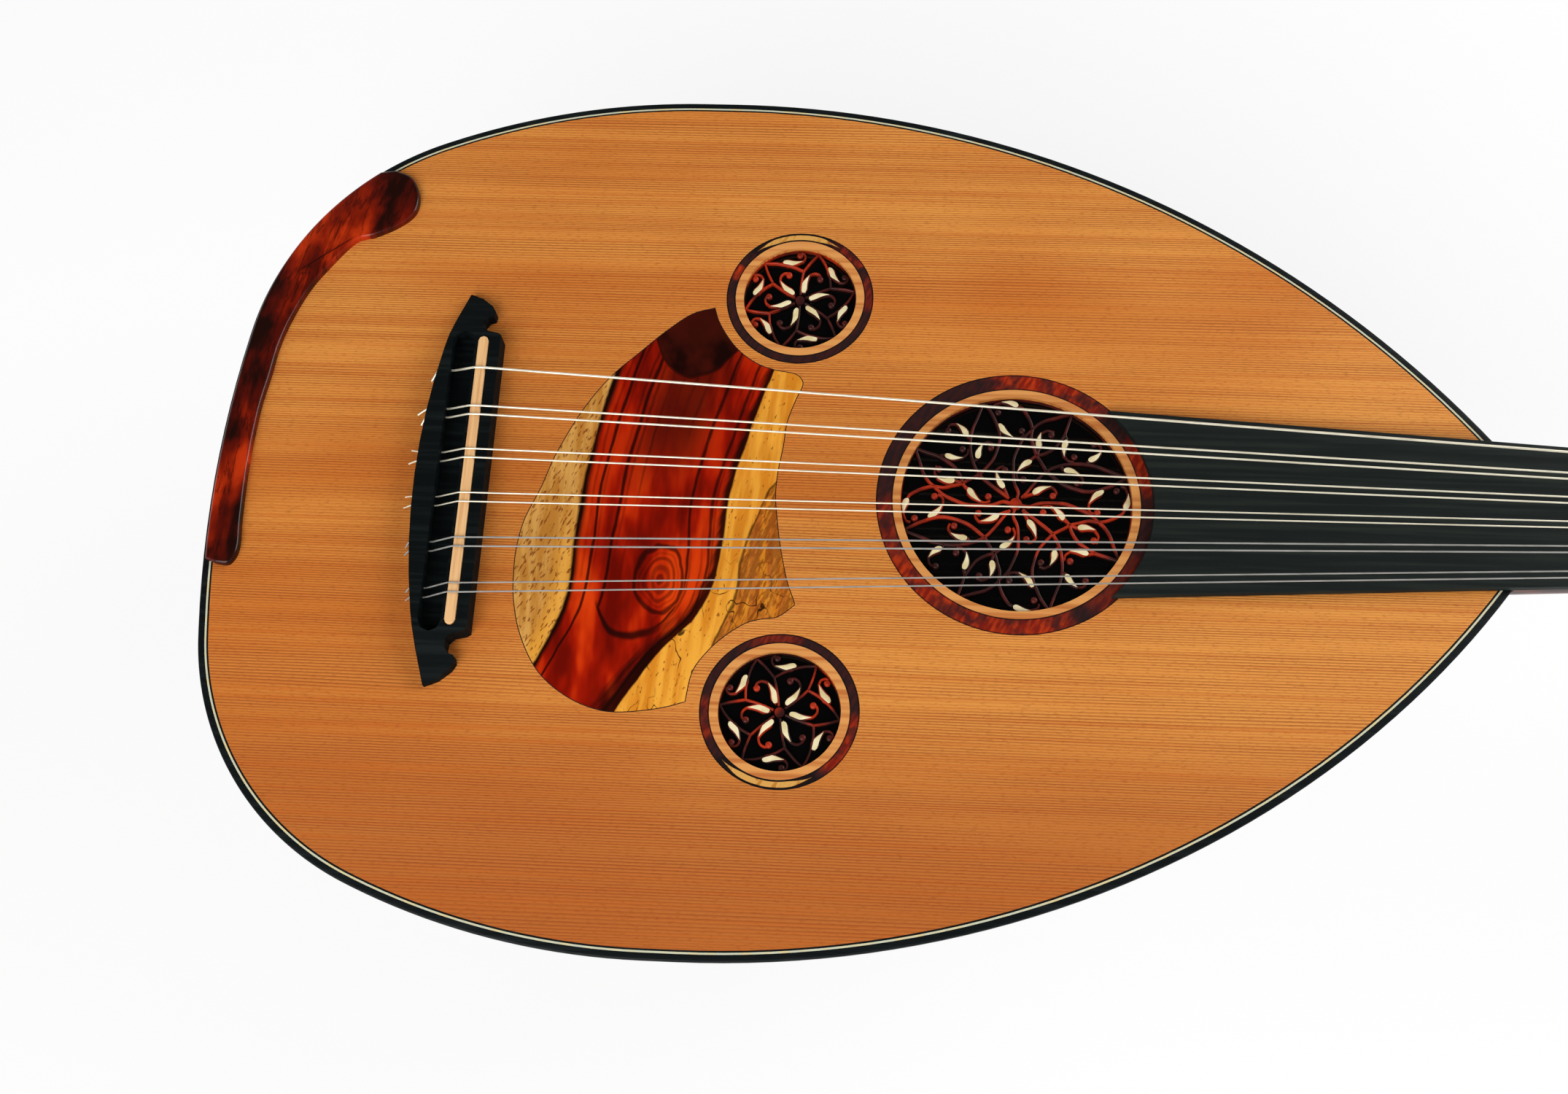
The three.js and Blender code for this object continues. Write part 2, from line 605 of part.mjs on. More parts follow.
function soundboard() {
  const edge = BINDING_WIDTH + FIT_GAP;
  const shoulder = BINDING_WIDTH + PURFLING_WIDTH + 2 * FIT_GAP;
  const lower = prism(bodyLoop(edge, JOINT_PLACE), -SOUNDBOARD_THICKNESS, -PURFLING_DEPTH);
  const upper = prism(bodyLoop(shoulder, JOINT_PLACE), -PURFLING_DEPTH - FIT_GAP, 0);
  const cutters = [];
  for (const { centre, radius, sides, inner, outer } of HOLES) {
    cutters.push(prism(round(centre, radius, sides), -SOUNDBOARD_THICKNESS - OVERRUN, OVERRUN));
    const groove = carve(
      [prism(round(centre, outer + FIT_GAP, sides), -RING_THICKNESS, OVERRUN)],
      [prism(round(centre, inner - FIT_GAP, sides), -RING_THICKNESS - OVERRUN, 2 * OVERRUN)],
    );
    cutters.push(groove);
  }
  cutters.push(prism(grown(pickguardOutline(), FIT_GAP), -PICKGUARD_THICKNESS, OVERRUN));
  return named("soundboard", carve([lower, upper], cutters), CEDAR);
}

// A strip that follows the body's edge between two insets, open at the neck
function edgeStrip(nearInset, farInset, low) {
  const near = edgeStations(nearInset, 0, JOINT_HEADING_DEG);
  const far = edgeStations(farInset, 0, JOINT_HEADING_DEG);
  const whole = (side) => [...side.slice(1).map(([x, y]) => [x, -y]).reverse(), ...side];
  const [outline, back] = [whole(near), whole(far)];
  return loft(
    outline.map(([x, y], i) => [[x, y, low], [x, y, 0], [...back[i], 0], [...back[i], low]]),
  );
}

function edgeBinding() {
  return named("edge_binding", edgeStrip(0, BINDING_WIDTH, -SOUNDBOARD_THICKNESS), EBONY);
}

function purfling() {
  const near = BINDING_WIDTH + FIT_GAP;
  return named("purfling", edgeStrip(near, near + PURFLING_WIDTH, -PURFLING_DEPTH), BONE);
}

function ringInlay({ suffix, centre, sides, inner, outer }) {
  const disc = prism(round(centre, outer, sides), -RING_THICKNESS, 0);
  const middle = prism(round(centre, inner, sides), -RING_THICKNESS - OVERRUN, OVERRUN);
  return named(`ring_${suffix}`, carve([disc], [middle]), COCOBOLO);
}

// A carved rosette under its hole: a rim, a hub, and strands and leaves repeated round the hub
function rosette({ suffix, centre, radius, sides, hand, turnDeg }, repeats, strands, leaves, widths) {
  const low = -SOUNDBOARD_THICKNESS - ROSETTE_THICKNESS;
  const high = -SOUNDBOARD_THICKNESS;
  const rim = carve(
    [prism(round([0, 0], radius + ROSETTE_RIM_WIDTH, sides), low, high)],
    [prism(round([0, 0], radius - ROSETTE_RIM_SHOW, sides), low - OVERRUN, high + OVERRUN)],
  );
  const parts = [prism(round([0, 0], widths.hub, HUB_SIDES), low, high), rim];
  for (let k = 0; k < repeats; k += 1) {
    const turn = new THREE.Matrix4().makeRotationZ(turnDeg * DEG + (2 * Math.PI * k) / repeats);
    const sized = (points) => points.map(([x, y]) => [x * radius, hand * y * radius]);
    const outlines = [
      ...strands.map((points) => ribbon(sized(points), widths.strand)),
      ...leaves.map((ends) => leaf(...sized(ends), widths.leaf)),
    ];
    parts.push(...outlines.map((outline) => prism(outline, low, high).applyMatrix4(turn)));
  }
  const geometry = carve(parts, []).translate(centre[0], centre[1], 0);
  return named(`rosette_${suffix}`, geometry, COCOBOLO);
}

function rosettes() {
  const mainWidths = { hub: MAIN_HUB_RADIUS, strand: MAIN_STRAND_WIDTH, leaf: MAIN_LEAF_WIDTH };
  const smallWidths = { hub: SMALL_HUB_RADIUS, strand: SMALL_STRAND_WIDTH, leaf: SMALL_LEAF_WIDTH };
  return [
    rosette(HOLES[0], 4, MAIN_STRAND_SHARES, MAIN_LEAF_SHARES, mainWidths),
    rosette(HOLES[1], 6, SMALL_STRAND_SHARES, SMALL_LEAF_SHARES, smallWidths),
    rosette(HOLES[2], 6, SMALL_STRAND_SHARES, SMALL_LEAF_SHARES, smallWidths),
  ];
}

function braces() {
  const top = -SOUNDBOARD_THICKNESS;
  const foot = top - BRACE_HEIGHT;
  const places = {
    brace_lower: BRACE_LOWER_PLACE,
    brace_middle: BRACE_MIDDLE_PLACE,
    brace_upper: BRACE_UPPER_PLACE,
  };
  return Object.entries(places).map(([name, place]) => {
    const half = Math.min(
      halfWidthAt(place - BRACE_WIDTH / 2, RIB_THICKNESS + FIT_GAP),
      halfWidthAt(place + BRACE_WIDTH / 2, RIB_THICKNESS + FIT_GAP),
    );
    const reach = half + foot * FACET_SLOPE;
    const bar = boxBetween([place - BRACE_WIDTH / 2, -reach, foot], [place + BRACE_WIDTH / 2, reach, top]);
    return named(name, bar, SPRUCE);
  });
}

function pickguard() {
  return named("pickguard", prism(pickguardOutline(), -PICKGUARD_THICKNESS, 0), COCOBOLO);
}

// The armrest: its outer side is the body's edge and its inner side and head are drawn by hand
function armrest() {
  const from = -tailHeading(ARMREST_FOOT_SPAN);
  const steps = 9;
  const outerSide = Array.from({ length: steps + 1 }, (_, k) => {
    const deg = from + ((ARMREST_TURN_DEG - from) * k) / steps;
    const [x, y] = edgePoint(Math.abs(deg), ARMREST_INSET);
    return [x, (Math.sign(deg) || 1) * y];
  });
  const innerSide = ARMREST_SHARES.map(([along, across]) => [along * ARMREST_REACH, across * ARMREST_SPAN]);
  const base = [...outerSide, ...innerSide];
  const geometry = stack([
    { outline: base, z: 0 },
    { outline: base, z: ARMREST_THICKNESS - ARMREST_ROUNDING },
    { outline: grown(base, -ARMREST_ROUNDING / 3), z: ARMREST_THICKNESS - ARMREST_ROUNDING / 3 },
    { outline: grown(base, -ARMREST_ROUNDING), z: ARMREST_THICKNESS },
  ]);
  return named("armrest", geometry, ROSEWOOD);
}

// A slot outline with round ends, its long side across the body
function stadium(x, halfWidth, halfLength) {
  const ends = [];
  for (const side of [1, -1]) {
    for (let k = 0; k <= 4; k += 1) {
      const angle = (Math.PI * k) / 4;
      const along = side * halfWidth * Math.cos(angle);
      ends.push([x + along, side * (halfLength - halfWidth + halfWidth * Math.sin(angle))]);
    }
  }
  return ends;
}

// How far the bridge's back edge lies forward of its middle at y
function bridgeSetback(y) {
  return BRIDGE_TIP_SETBACK * (y / BRIDGE_HALF_WIDTH) ** 2;
}

function bridgeOutline() {
  const front = BRIDGE_FRONT_SHARES.map(([along, across]) => [
    BRIDGE_PLACE + along * BRIDGE_LENGTH,
    across * BRIDGE_HALF_WIDTH,
  ]);
  const steps = 12;
  const back = Array.from({ length: steps - 1 }, (_, k) => {
    const y = BRIDGE_HALF_WIDTH * (1 - (2 * (k + 1)) / steps);
    return [BRIDGE_PLACE + bridgeSetback(y), y];
  });
  const mirrored = front.map(([x, y]) => [x, -y]).reverse();
  return [...front, ...back, ...mirrored];
}

// Wedges that slope the bridge's wings down from its block to their tips
function wingCutters() {
  const slope = (BRIDGE_HEIGHT - BRIDGE_TIP_HEIGHT) / (BRIDGE_HALF_WIDTH - BRIDGE_BLOCK_HALF_WIDTH);
  const far = BRIDGE_HALF_WIDTH + OVERRUN;
  const top = BRIDGE_HEIGHT + OVERRUN;
  return [1, -1].map((side) => {
    const loop = (x) => [
      [x, side * BRIDGE_BLOCK_HALF_WIDTH, BRIDGE_HEIGHT],
      [x, side * far, BRIDGE_TIP_HEIGHT - slope * OVERRUN],
      [x, side * far, top],
      [x, side * BRIDGE_BLOCK_HALF_WIDTH, top],
    ];
    return loft([loop(BRIDGE_PLACE - OVERRUN), loop(BRIDGE_PLACE + BRIDGE_LENGTH + OVERRUN)]);
  });
}

function bridge() {
  const channelMiddle = CHANNEL_PLACE + CHANNEL_WIDTH / 2;
  const channel = stadium(channelMiddle, CHANNEL_WIDTH / 2, CHANNEL_HALF_LENGTH);
  const seat = stadium(SADDLE_MIDDLE, SADDLE_WIDTH / 2 + FIT_GAP, SADDLE_HALF_LENGTH + FIT_GAP);
  const top = BRIDGE_HEIGHT + OVERRUN;
  const holes = STRING_RADII.map((radius, i) => {
    const wide = radius + STRING_HOLE_CLEARANCE;
    const long = CHANNEL_PLACE - BRIDGE_PLACE + 2 * OVERRUN;
    const bore = new THREE.CylinderGeometry(wide, wide, long, STRING_HOLE_SIDES);
    const middle = (BRIDGE_PLACE + CHANNEL_PLACE) / 2;
    return bore.rotateZ(Math.PI / 2).translate(middle, saddleY(i) * TIE_SPREAD_SHARE, STRING_HOLE_HEIGHT);
  });
  const cutters = [
    prism(channel, CHANNEL_FLOOR, top),
    prism(seat, BRIDGE_HEIGHT - SADDLE_SEAT_DEPTH, top),
    ...wingCutters(),
    ...holes,
  ];
  return named("bridge", carve([prism(bridgeOutline(), 0, BRIDGE_HEIGHT)], cutters), EBONY);
}

function bridgeSaddle() {
  const outline = stadium(SADDLE_MIDDLE, SADDLE_WIDTH / 2, SADDLE_HALF_LENGTH);
  const strip = prism(outline, BRIDGE_HEIGHT - SADDLE_SEAT_DEPTH, BRIDGE_HEIGHT + SADDLE_PROUD);
  return named("bridge_saddle", strip, PEACH_WOOD);
}

// The fingerboard's half width at x, on the straight line through the joint and the nut
function fingerboardHalfWidth(x) {
  const share = (x - JOINT_PLACE) / (NUT_PLACE - JOINT_PLACE);
  return JOINT_HALF_WIDTH + share * (NUT_HALF_WIDTH - JOINT_HALF_WIDTH);
}

function fingerboard() {
  const radius = MAIN_RING_OUTER_RADIUS - FINGERBOARD_RING_LAP;
  let reach = 0;
  for (let pass = 0; pass < 8; pass += 1) {
    reach = Math.asin(fingerboardHalfWidth(MAIN_HOLE_PLACE + radius * Math.cos(reach)) / radius);
  }
  const steps = 8;
  const end = Array.from({ length: steps + 1 }, (_, k) => {
    const angle = reach * ((2 * k) / steps - 1);
    return [MAIN_HOLE_PLACE + radius * Math.cos(angle), radius * Math.sin(angle)];
  });
  const outline = [...end, [NUT_PLACE, NUT_HALF_WIDTH], [NUT_PLACE, -NUT_HALF_WIDTH]];
  return named("fingerboard", prism(outline, 0, FINGERBOARD_THICKNESS), EBONY);
}

// The neck's cross-section at x: as wide as the fingerboard, and as deep as the bowl at the joint
function neckSection(x) {
  const width = fingerboardHalfWidth(x);
  const share = (x - JOINT_PLACE) / (NUT_PLACE - JOINT_PLACE);
  const jointDepth = DEPTH_RATIO * JOINT_HALF_WIDTH;
  const depth = jointDepth + share * (NECK_NUT_DEPTH - jointDepth);
  return Array.from({ length: RIB_COUNT + 1 }, (_, i) => [
    x,
    width * Math.cos(i * RIB_TURN),
    -depth * Math.sin(i * RIB_TURN),
  ]);
}

function neck() {
  const whole = loft([neckSection(JOINT_PLACE + FIT_GAP), neckSection(NECK_END + OVERRUN)]);
  const reach = 2 * JOINT_HALF_WIDTH;
  const beyond = boxBetween([0, -reach, -reach], [reach, reach, reach]);
  beyond.rotateY(PEGBOX_BEND).translate(NECK_END, 0, 0);
  return named("neck", carve([whole], [beyond]), MAHOGANY);
}

function nut() {
  const block = boxBetween([NUT_PLACE, -NUT_HALF_WIDTH, 0], [NECK_END, NUT_HALF_WIDTH, NUT_TOP]);
  const slots = STRING_RADII.map((radius, i) => {
    const half = radius + FIT_GAP;
    return boxBetween(
      [NUT_PLACE - OVERRUN, nutY(i) - half, NUT_TOP - NUT_SLOT_DEPTH],
      [NECK_END + OVERRUN, nutY(i) + half, NUT_TOP + OVERRUN],
    );
  });
  return named("nut", carve([block], slots), BONE);
}

// The pegbox is laid out in its own frame: u along it from the neck, v across and n up from its rim
function pegboxHalfWidth(u) {
  return NUT_HALF_WIDTH + (u / WALL_END) * (PEGBOX_END_HALF_WIDTH - NUT_HALF_WIDTH);
}

function pegboxDepth(u) {
  return PEGBOX_ROOT_DEPTH + (u / WALL_END) * (PEGBOX_END_DEPTH - PEGBOX_ROOT_DEPTH);
}

function pegPlace(i) {
  const u = PEG_FIRST_PLACE + i * PEG_SPACING;
  return [u, -PEG_DEPTH_SHARE * pegboxDepth(u)];
}

// A bar between two places along the pegbox; side gives its v limits and span its n limits
function pegboxBar(from, to, side, span) {
  return loft(
    [from, to].map((u) => {
      const [[near, far], [low, high]] = [side(u), span(u)];
      return [[u, near, low], [u, far, low], [u, far, high], [u, near, high]];
    }),
  );
}

// The peg's radius at a distance from its collar
function pegRadius(distance) {
  return PEG_RADIUS - PEG_TAPER_SHARE * distance;
}

// One peg along +Y, from its tip through both walls to its thumb piece
function pegGeometry(i) {
  const half = pegboxHalfWidth(pegPlace(i)[0]);
  const tip = -half - PEG_TIP_PROUD;
  const collar = half + 2 * FIT_GAP;
  const stem = collar + PEG_COLLAR_LENGTH;
  const shaft = new THREE.LatheGeometry(
    [
      [0, tip], [pegRadius(half - tip), tip], [PEG_RADIUS, collar], [PEG_COLLAR_RADIUS, collar],
      [PEG_COLLAR_RADIUS, collar + PEG_COLLAR_LENGTH / 2], [PEG_STEM_RADIUS, stem],
      [PEG_STEM_RADIUS, stem + PEG_COLLAR_LENGTH], [0, stem + PEG_COLLAR_LENGTH],
    ].map(([r, y]) => new THREE.Vector2(r, y)),
    PEG_SIDES,
  );
  const thumb = new THREE.LatheGeometry(
    PEG_THUMB_SHARES.map(([r, y]) => new THREE.Vector2(r * PEG_THUMB_RADIUS, stem + y * PEG_THUMB_LENGTH)),
    PEG_SIDES,
  ).scale(PEG_THUMB_FLAT_SHARE, 1, 1);
  return carve([shaft, thumb], []);
}

function pegs() {
  return PEG_REST_TURNS_DEG.map((turn, i) => {
    const geometry = pegGeometry(i).rotateY(turn * DEG);
    if (i % 2) {
      geometry.rotateZ(Math.PI);
    }
    const [u, n] = pegPlace(i);
    const mesh = named(`peg_${String(i + 1).padStart(2, "0")}`, geometry, EBONY);
    mesh.position.set(u, 0, n);
    return mesh;
  });
}

// A tapered hole through both walls for one peg, its flats clear of the peg's corners
function pegHole(i) {
  const [u, n] = pegPlace(i);
  const half = pegboxHalfWidth(u);
  const wide = 1 / Math.cos(Math.PI / PEG_SIDES);
  const reach = half + OVERRUN;
  const top = (pegRadius(-OVERRUN) + RUNNING_GAP) * wide;
  const bottom = (pegRadius(half + reach) + RUNNING_GAP) * wide;
  const bore = new THREE.CylinderGeometry(top, bottom, 2 * reach, PEG_SIDES);
  return (i % 2 ? bore.rotateZ(Math.PI) : bore).translate(u, 0, n);
}

function pegboxWalls() {
  const holes = PEG_REST_TURNS_DEG.map((_, i) => pegHole(i));
  return [["bass", 1], ["treble", -1]].map(([name, side]) => {
    const limits = (u) => [side * (pegboxHalfWidth(u) - PEGBOX_WALL), side * pegboxHalfWidth(u)];
    const wall = pegboxBar(FIT_GAP, WALL_END, limits, (u) => [-pegboxDepth(u), 0]);
    return named(`pegbox_wall_${name}`, carve([wall], holes), EBONY);
  });
}

function pegboxBack() {
  const under = (u) => -pegboxDepth(u) - FIT_GAP;
  const inside = (u) => {
    const half = pegboxHalfWidth(u) - PEGBOX_WALL - FIT_GAP;
    return [-half, half];
  };
  const across = (u) => [-pegboxHalfWidth(u), pegboxHalfWidth(u)];
  const sole = (u) => under(u) - PEGBOX_BACK_THICKNESS;
  const headStart = WALL_END + FIT_GAP;
  const plate = pegboxBar(FIT_GAP, headStart + OVERRUN, across, (u) => [sole(u), under(u)]);
  const rootHeights = (u) => [sole(u) + OVERRUN, -PEGBOX_ROOT_BLOCK_DROP];
  const endHeights = (u) => [sole(u) + OVERRUN, 0];
  const root = pegboxBar(FIT_GAP, PEGBOX_ROOT_BLOCK, inside, rootHeights);
  const end = pegboxBar(WALL_END - PEGBOX_END_BLOCK, headStart + OVERRUN, inside, endHeights);
  const head = pegboxBar(headStart, PEGBOX_LENGTH, () => across(WALL_END), () => [sole(WALL_END), 0]);
  return named("pegbox_back", carve([plate, root, end, head], []), EBONY);
}

// A string's course number and its side of the pair: 0 for the single string, else 1 or -1
function courseOf(i) {
  return i === 0 ? [0, 0] : [Math.ceil(i / 2), i % 2 ? 1 : -1];
}

// How far a string lies from the middle, for the spacings at the saddle or the nut
function spread(i, courseSpacing, pairSpacing) {
  const [course, side] = courseOf(i);
  return courseSpacing * ((COURSE_COUNT - 1) / 2 - course) + (side * pairSpacing) / 2;
}

function saddleY(i) {
  return spread(i, COURSE_SPACING_SADDLE, PAIR_SPACING_SADDLE);
}

function nutY(i) {
  return spread(i, COURSE_SPACING_NUT, PAIR_SPACING_NUT);
}

// Points of the pegbox's frame in the body's frame, and back again along u and n
function fromPegbox(u, v, n) {
  const [cosine, sine] = [Math.cos(PEGBOX_BEND), Math.sin(PEGBOX_BEND)];
  const rise = n - PEGBOX_DROP;
  return [NECK_END + u * cosine + rise * sine, v, rise * cosine - u * sine];
}

function toPegbox(x, z) {
  const [cosine, sine] = [Math.cos(PEGBOX_BEND), Math.sin(PEGBOX_BEND)];
  return [(x - NECK_END) * cosine - z * sine, (x - NECK_END) * sine + z * cosine + PEGBOX_DROP];
}

// The line of one string: tail, bridge hole, saddle, nut, and its turns round its peg
function stringLine(i) {
  const radius = STRING_RADII[i];
  const clear = radius + FIT_GAP;
  const tie = saddleY(i) * TIE_SPREAD_SHARE;
  const back = BRIDGE_PLACE + bridgeSetback(tie);
  const floor = NUT_TOP - NUT_SLOT_DEPTH;
  const line = [
    [back - STRING_TAIL_LENGTH, tie, STRING_HOLE_HEIGHT - STRING_TAIL_DROP],
    [back - STRING_TAIL_LENGTH / 4, tie, STRING_HOLE_HEIGHT],
    [CHANNEL_PLACE + clear, tie, STRING_HOLE_HEIGHT],
    [SADDLE_PLACE, saddleY(i), BRIDGE_HEIGHT + SADDLE_PROUD + clear],
    [NECK_END, nutY(i), floor + clear],
    [NECK_END + clear * Math.SQRT1_2, nutY(i), floor + clear * Math.SQRT1_2],
  ];
  const [u, n] = toPegbox(line[5][0], line[5][2]);
  const [pegU, pegN] = pegPlace(STRING_OF_PEG.indexOf(i));
  const turnRadius = (PEG_RADIUS + clear) / Math.cos(Math.PI / WINDING_STEPS);
  const apart = Math.hypot(u - pegU, n - pegN);
  const first = Math.atan2(n - pegN, u - pegU) - Math.acos(turnRadius / apart);
  const start = nutY(i) * WINDING_PLACE_SHARE;
  const pitch = 2 * radius + WINDING_GAP;
  for (let k = 0; k <= WINDING_TURNS * WINDING_STEPS; k += 1) {
    const angle = first - (2 * Math.PI * k) / WINDING_STEPS;
    const v = start - (Math.sign(start) * pitch * k) / WINDING_STEPS;
    line.push(fromPegbox(pegU + turnRadius * Math.cos(angle), v, pegN + turnRadius * Math.sin(angle)));
  }
  return line.map((point) => new THREE.Vector3(...point));
}

// A round tube of flat sides along a line of points, its section carried on without twist
function tube(line, radius) {
  const loops = [];
  const side = new THREE.Vector3(0, 0, 1);
  line.forEach((point, i) => {
    const before = line[Math.max(i - 1, 0)];
    const after = line[Math.min(i + 1, line.length - 1)];
    const arriving = point.clone().sub(before).normalize();
    const leaving = after.clone().sub(point).normalize();
    const tangent = arriving.add(leaving).normalize();
    side.addScaledVector(tangent, -side.dot(tangent)).normalize();
    const other = new THREE.Vector3().crossVectors(tangent, side);
    loops.push(
      Array.from({ length: STRING_SIDES }, (_, k) => {
        const angle = (2 * Math.PI * k) / STRING_SIDES;
        return point
          .clone()
          .addScaledVector(side, radius * Math.cos(angle))
          .addScaledVector(other, radius * Math.sin(angle))
          .toArray();
      }),
    );
  });
  return loft(loops);
}

// The least gap between neighbouring turns of a winding, measured on its points
function leastTurnGap(line, radius) {
  const turns = line.slice(-WINDING_TURNS * WINDING_STEPS);
  let least = Infinity;
  turns.forEach((point, i) => {
    for (let j = i + WINDING_STEPS - 1; j < turns.length; j += 1) {
      least = Math.min(least, point.distanceTo(turns[j]) - 2 * radius);
    }
  });
  return least;
}

function strings() {
  let least = Infinity;
  const meshes = STRING_NAMES.map((name, i) => {
    const line = stringLine(i);
    least = Math.min(least, leastTurnGap(line, STRING_RADII[i]));
    return named(name, tube(line, STRING_RADII[i]), i < WOUND_STRINGS ? SILVER : NYLON);
  });
  console.log(`least gap between the turns of a string: ${least.toFixed(2)} mm`);
  return meshes;
}

const pegbox = new THREE.Group();
pegbox.add(...pegboxWalls(), pegboxBack(), ...pegs());
pegbox.position.set(...fromPegbox(0, 0, 0));
pegbox.rotation.y = PEGBOX_BEND;

const body = new THREE.Group();
body.add(
  ...ribs(), tailBlock(), neckBlock(), endClasp(), soundboard(), edgeBinding(), purfling(),
  ...HOLES.map(ringInlay), ...rosettes(), ...braces(), pickguard(), armrest(), bridge(), bridgeSaddle(),
  fingerboard(), neck(), nut(), ...strings(), pegbox,
);
body.position.set(-REST_PLACE, 0, BOWL_DEPTH);

const oud = new THREE.Group();
oud.add(body);
export default oud;
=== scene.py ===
"""The looks of a Turkish oud, built round its packed frame.

The file is laid out as an add-on and is run as a script. Its operators make the bowl, the soundboard
with its rings, rosettes and pickguard, the bridge, the neck, the pegbox, the pegs and the strings, and
then the stage. Lengths are metres. A body place is measured from the tail, across from the middle and
up from the soundboard's face; placed() turns it into a place in the frame.
"""
import json
from functools import partialmethod
from math import asin, cos, pi, radians, sin, tan

import bmesh
import bpy
import numpy as np
from bpy.props import FloatProperty, FloatVectorProperty, IntProperty, PointerProperty
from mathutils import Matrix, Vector
from mathutils.geometry import tessellate_polygon

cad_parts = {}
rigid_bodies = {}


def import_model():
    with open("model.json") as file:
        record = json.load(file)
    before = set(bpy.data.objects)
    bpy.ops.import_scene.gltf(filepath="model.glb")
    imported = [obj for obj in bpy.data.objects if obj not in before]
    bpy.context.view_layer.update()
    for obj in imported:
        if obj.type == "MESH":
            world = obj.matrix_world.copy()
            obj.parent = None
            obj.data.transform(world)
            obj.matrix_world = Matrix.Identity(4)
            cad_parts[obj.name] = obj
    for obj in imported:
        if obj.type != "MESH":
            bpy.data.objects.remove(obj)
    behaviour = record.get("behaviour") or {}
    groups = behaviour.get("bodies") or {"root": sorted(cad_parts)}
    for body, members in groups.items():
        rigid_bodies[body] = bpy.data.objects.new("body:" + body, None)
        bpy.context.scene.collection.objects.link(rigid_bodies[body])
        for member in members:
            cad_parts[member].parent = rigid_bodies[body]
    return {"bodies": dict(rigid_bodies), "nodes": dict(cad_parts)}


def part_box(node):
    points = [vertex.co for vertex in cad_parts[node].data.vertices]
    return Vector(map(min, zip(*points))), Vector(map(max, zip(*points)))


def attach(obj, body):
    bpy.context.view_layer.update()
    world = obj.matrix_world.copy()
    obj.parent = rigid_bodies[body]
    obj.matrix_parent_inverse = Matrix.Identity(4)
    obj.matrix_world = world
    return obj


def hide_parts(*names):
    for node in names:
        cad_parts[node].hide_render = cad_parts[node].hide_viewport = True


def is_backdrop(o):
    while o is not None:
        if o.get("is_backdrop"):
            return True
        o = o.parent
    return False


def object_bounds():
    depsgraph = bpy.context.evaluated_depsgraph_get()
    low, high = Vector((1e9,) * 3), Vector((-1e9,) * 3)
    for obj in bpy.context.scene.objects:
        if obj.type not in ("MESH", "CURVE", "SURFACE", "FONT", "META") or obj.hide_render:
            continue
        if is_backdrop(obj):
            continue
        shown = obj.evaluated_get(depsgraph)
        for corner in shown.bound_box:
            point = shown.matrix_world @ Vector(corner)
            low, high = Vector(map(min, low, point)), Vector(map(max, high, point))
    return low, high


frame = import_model()

bl_info = {
    "name": "Oud",
    "version": (1, 0, 0),
    "blender": (4, 5, 0),
    "location": "3D View > Sidebar > Oud",
    "description": "Builds an oud's woods, inlays, strings and pegs round its frame, and a stage for it",
    "category": "Add Mesh",
}

CAD_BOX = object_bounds()
TAIL_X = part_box("edge_binding")[0].x
TOP_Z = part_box("soundboard")[1].z
NECK_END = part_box("nut")[1].x - TAIL_X
JOINT_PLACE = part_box("soundboard")[1].x - TAIL_X
NUT_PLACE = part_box("nut")[0].x - TAIL_X
FINGERBOARD_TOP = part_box("fingerboard")[1].z - TOP_Z
NUT_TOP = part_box("nut")[1].z - TOP_Z
SADDLE_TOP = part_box("bridge_saddle")[1].z - TOP_Z
RIBS = sorted(name for name in frame["nodes"] if name.startswith("rib_"))
PEGS = sorted(name for name in frame["nodes"] if name.startswith("peg_"))
STRINGS = sorted(name for name in frame["nodes"] if name.startswith("string_"))
BODY = next(name for name in frame["bodies"] if name not in PEGS)
# Each string's radius as a share of the bass string's
STRING_RADIUS_SHARES = (1, 0.82, 0.82, 0.72, 0.72, 0.62, 0.62, 0.7, 0.7, 0.63, 0.63)
QUARTER = pi / 2
FULL_TURN = 2 * pi
# How far inlays stand proud of the soundboard
PROUD = 0.00002
# How far a rosette reaches past its hole and how far its rim shows inside it
ROSETTE_RIM = 0.004
RIM_LIP = 0.0003
# A rosette's hub is this many strands in radius. A small one's leaves and strands have these shares of the
# main one's widths.
HUB_STRANDS = 2.4
SMALL_LEAF, SMALL_STRAND = 1.12, 0.8
# How far a leaf bows and where its width runs out, both for its length, the factor that brings the highest
# value of the width's formula to about 1, and the points along it
LEAF_BOW = 0.08
LEAF_REACH = 1.18
LEAF_SWELL = 3.44
LEAF_STEPS = 60
# How far the wood round a leaf lies below the strands, how deep the bone is let in, and how much of the
# leaf's length it fills
LEAF_DROP = 0.0001
BONE_DEPTH = 0.0008
BONE_SHARE = 0.93
# How far the near-black sheet, painted shade for the bowl's dark inside, lies under a rosette, and how
# thick it is
SHEET_GAP = 0.0001
SHEET_THICKNESS = 0.0005
# The gaps round the plug at the tail, between the neck and the bowl, and under the fingerboard
PLUG_GAP = 0.0002
JOINT_GAP = 0.0003
BOARD_GAP = 0.00003
# How many points go round a hole, a ring and a peg
HOLE_STEPS, RING_STEPS, PEG_STEPS = 96, 128, 32
# The ball at a thumb piece's end: its share of the half width, and where its middle lies along the piece
BALL_SHARE = 0.27
BALL_PLACE = 1.02
COURSES = 6
# A string comes out this far behind the bridge, its cut end hangs so low, and it sinks in the nut's slot
# and a little into whatever it is pressed on
TIE_REACH = 0.0008
TIE_DROP = 0.0024
NUT_SLOT = 0.0008
SEATING = 0.0002
# How long a string lies level on the saddle and in the nut, how wide it bends, and the steps of one turn
ON_SADDLE = 0.004
IN_NUT = 0.005
STRING_BEND = 0.0012
TURN_STEPS = 20
# Edges sharper than this stay sharp in the shading
CREASE = radians(38)
# How finely the body's edge is divided
STEPS_PER_DEGREE = 0.8
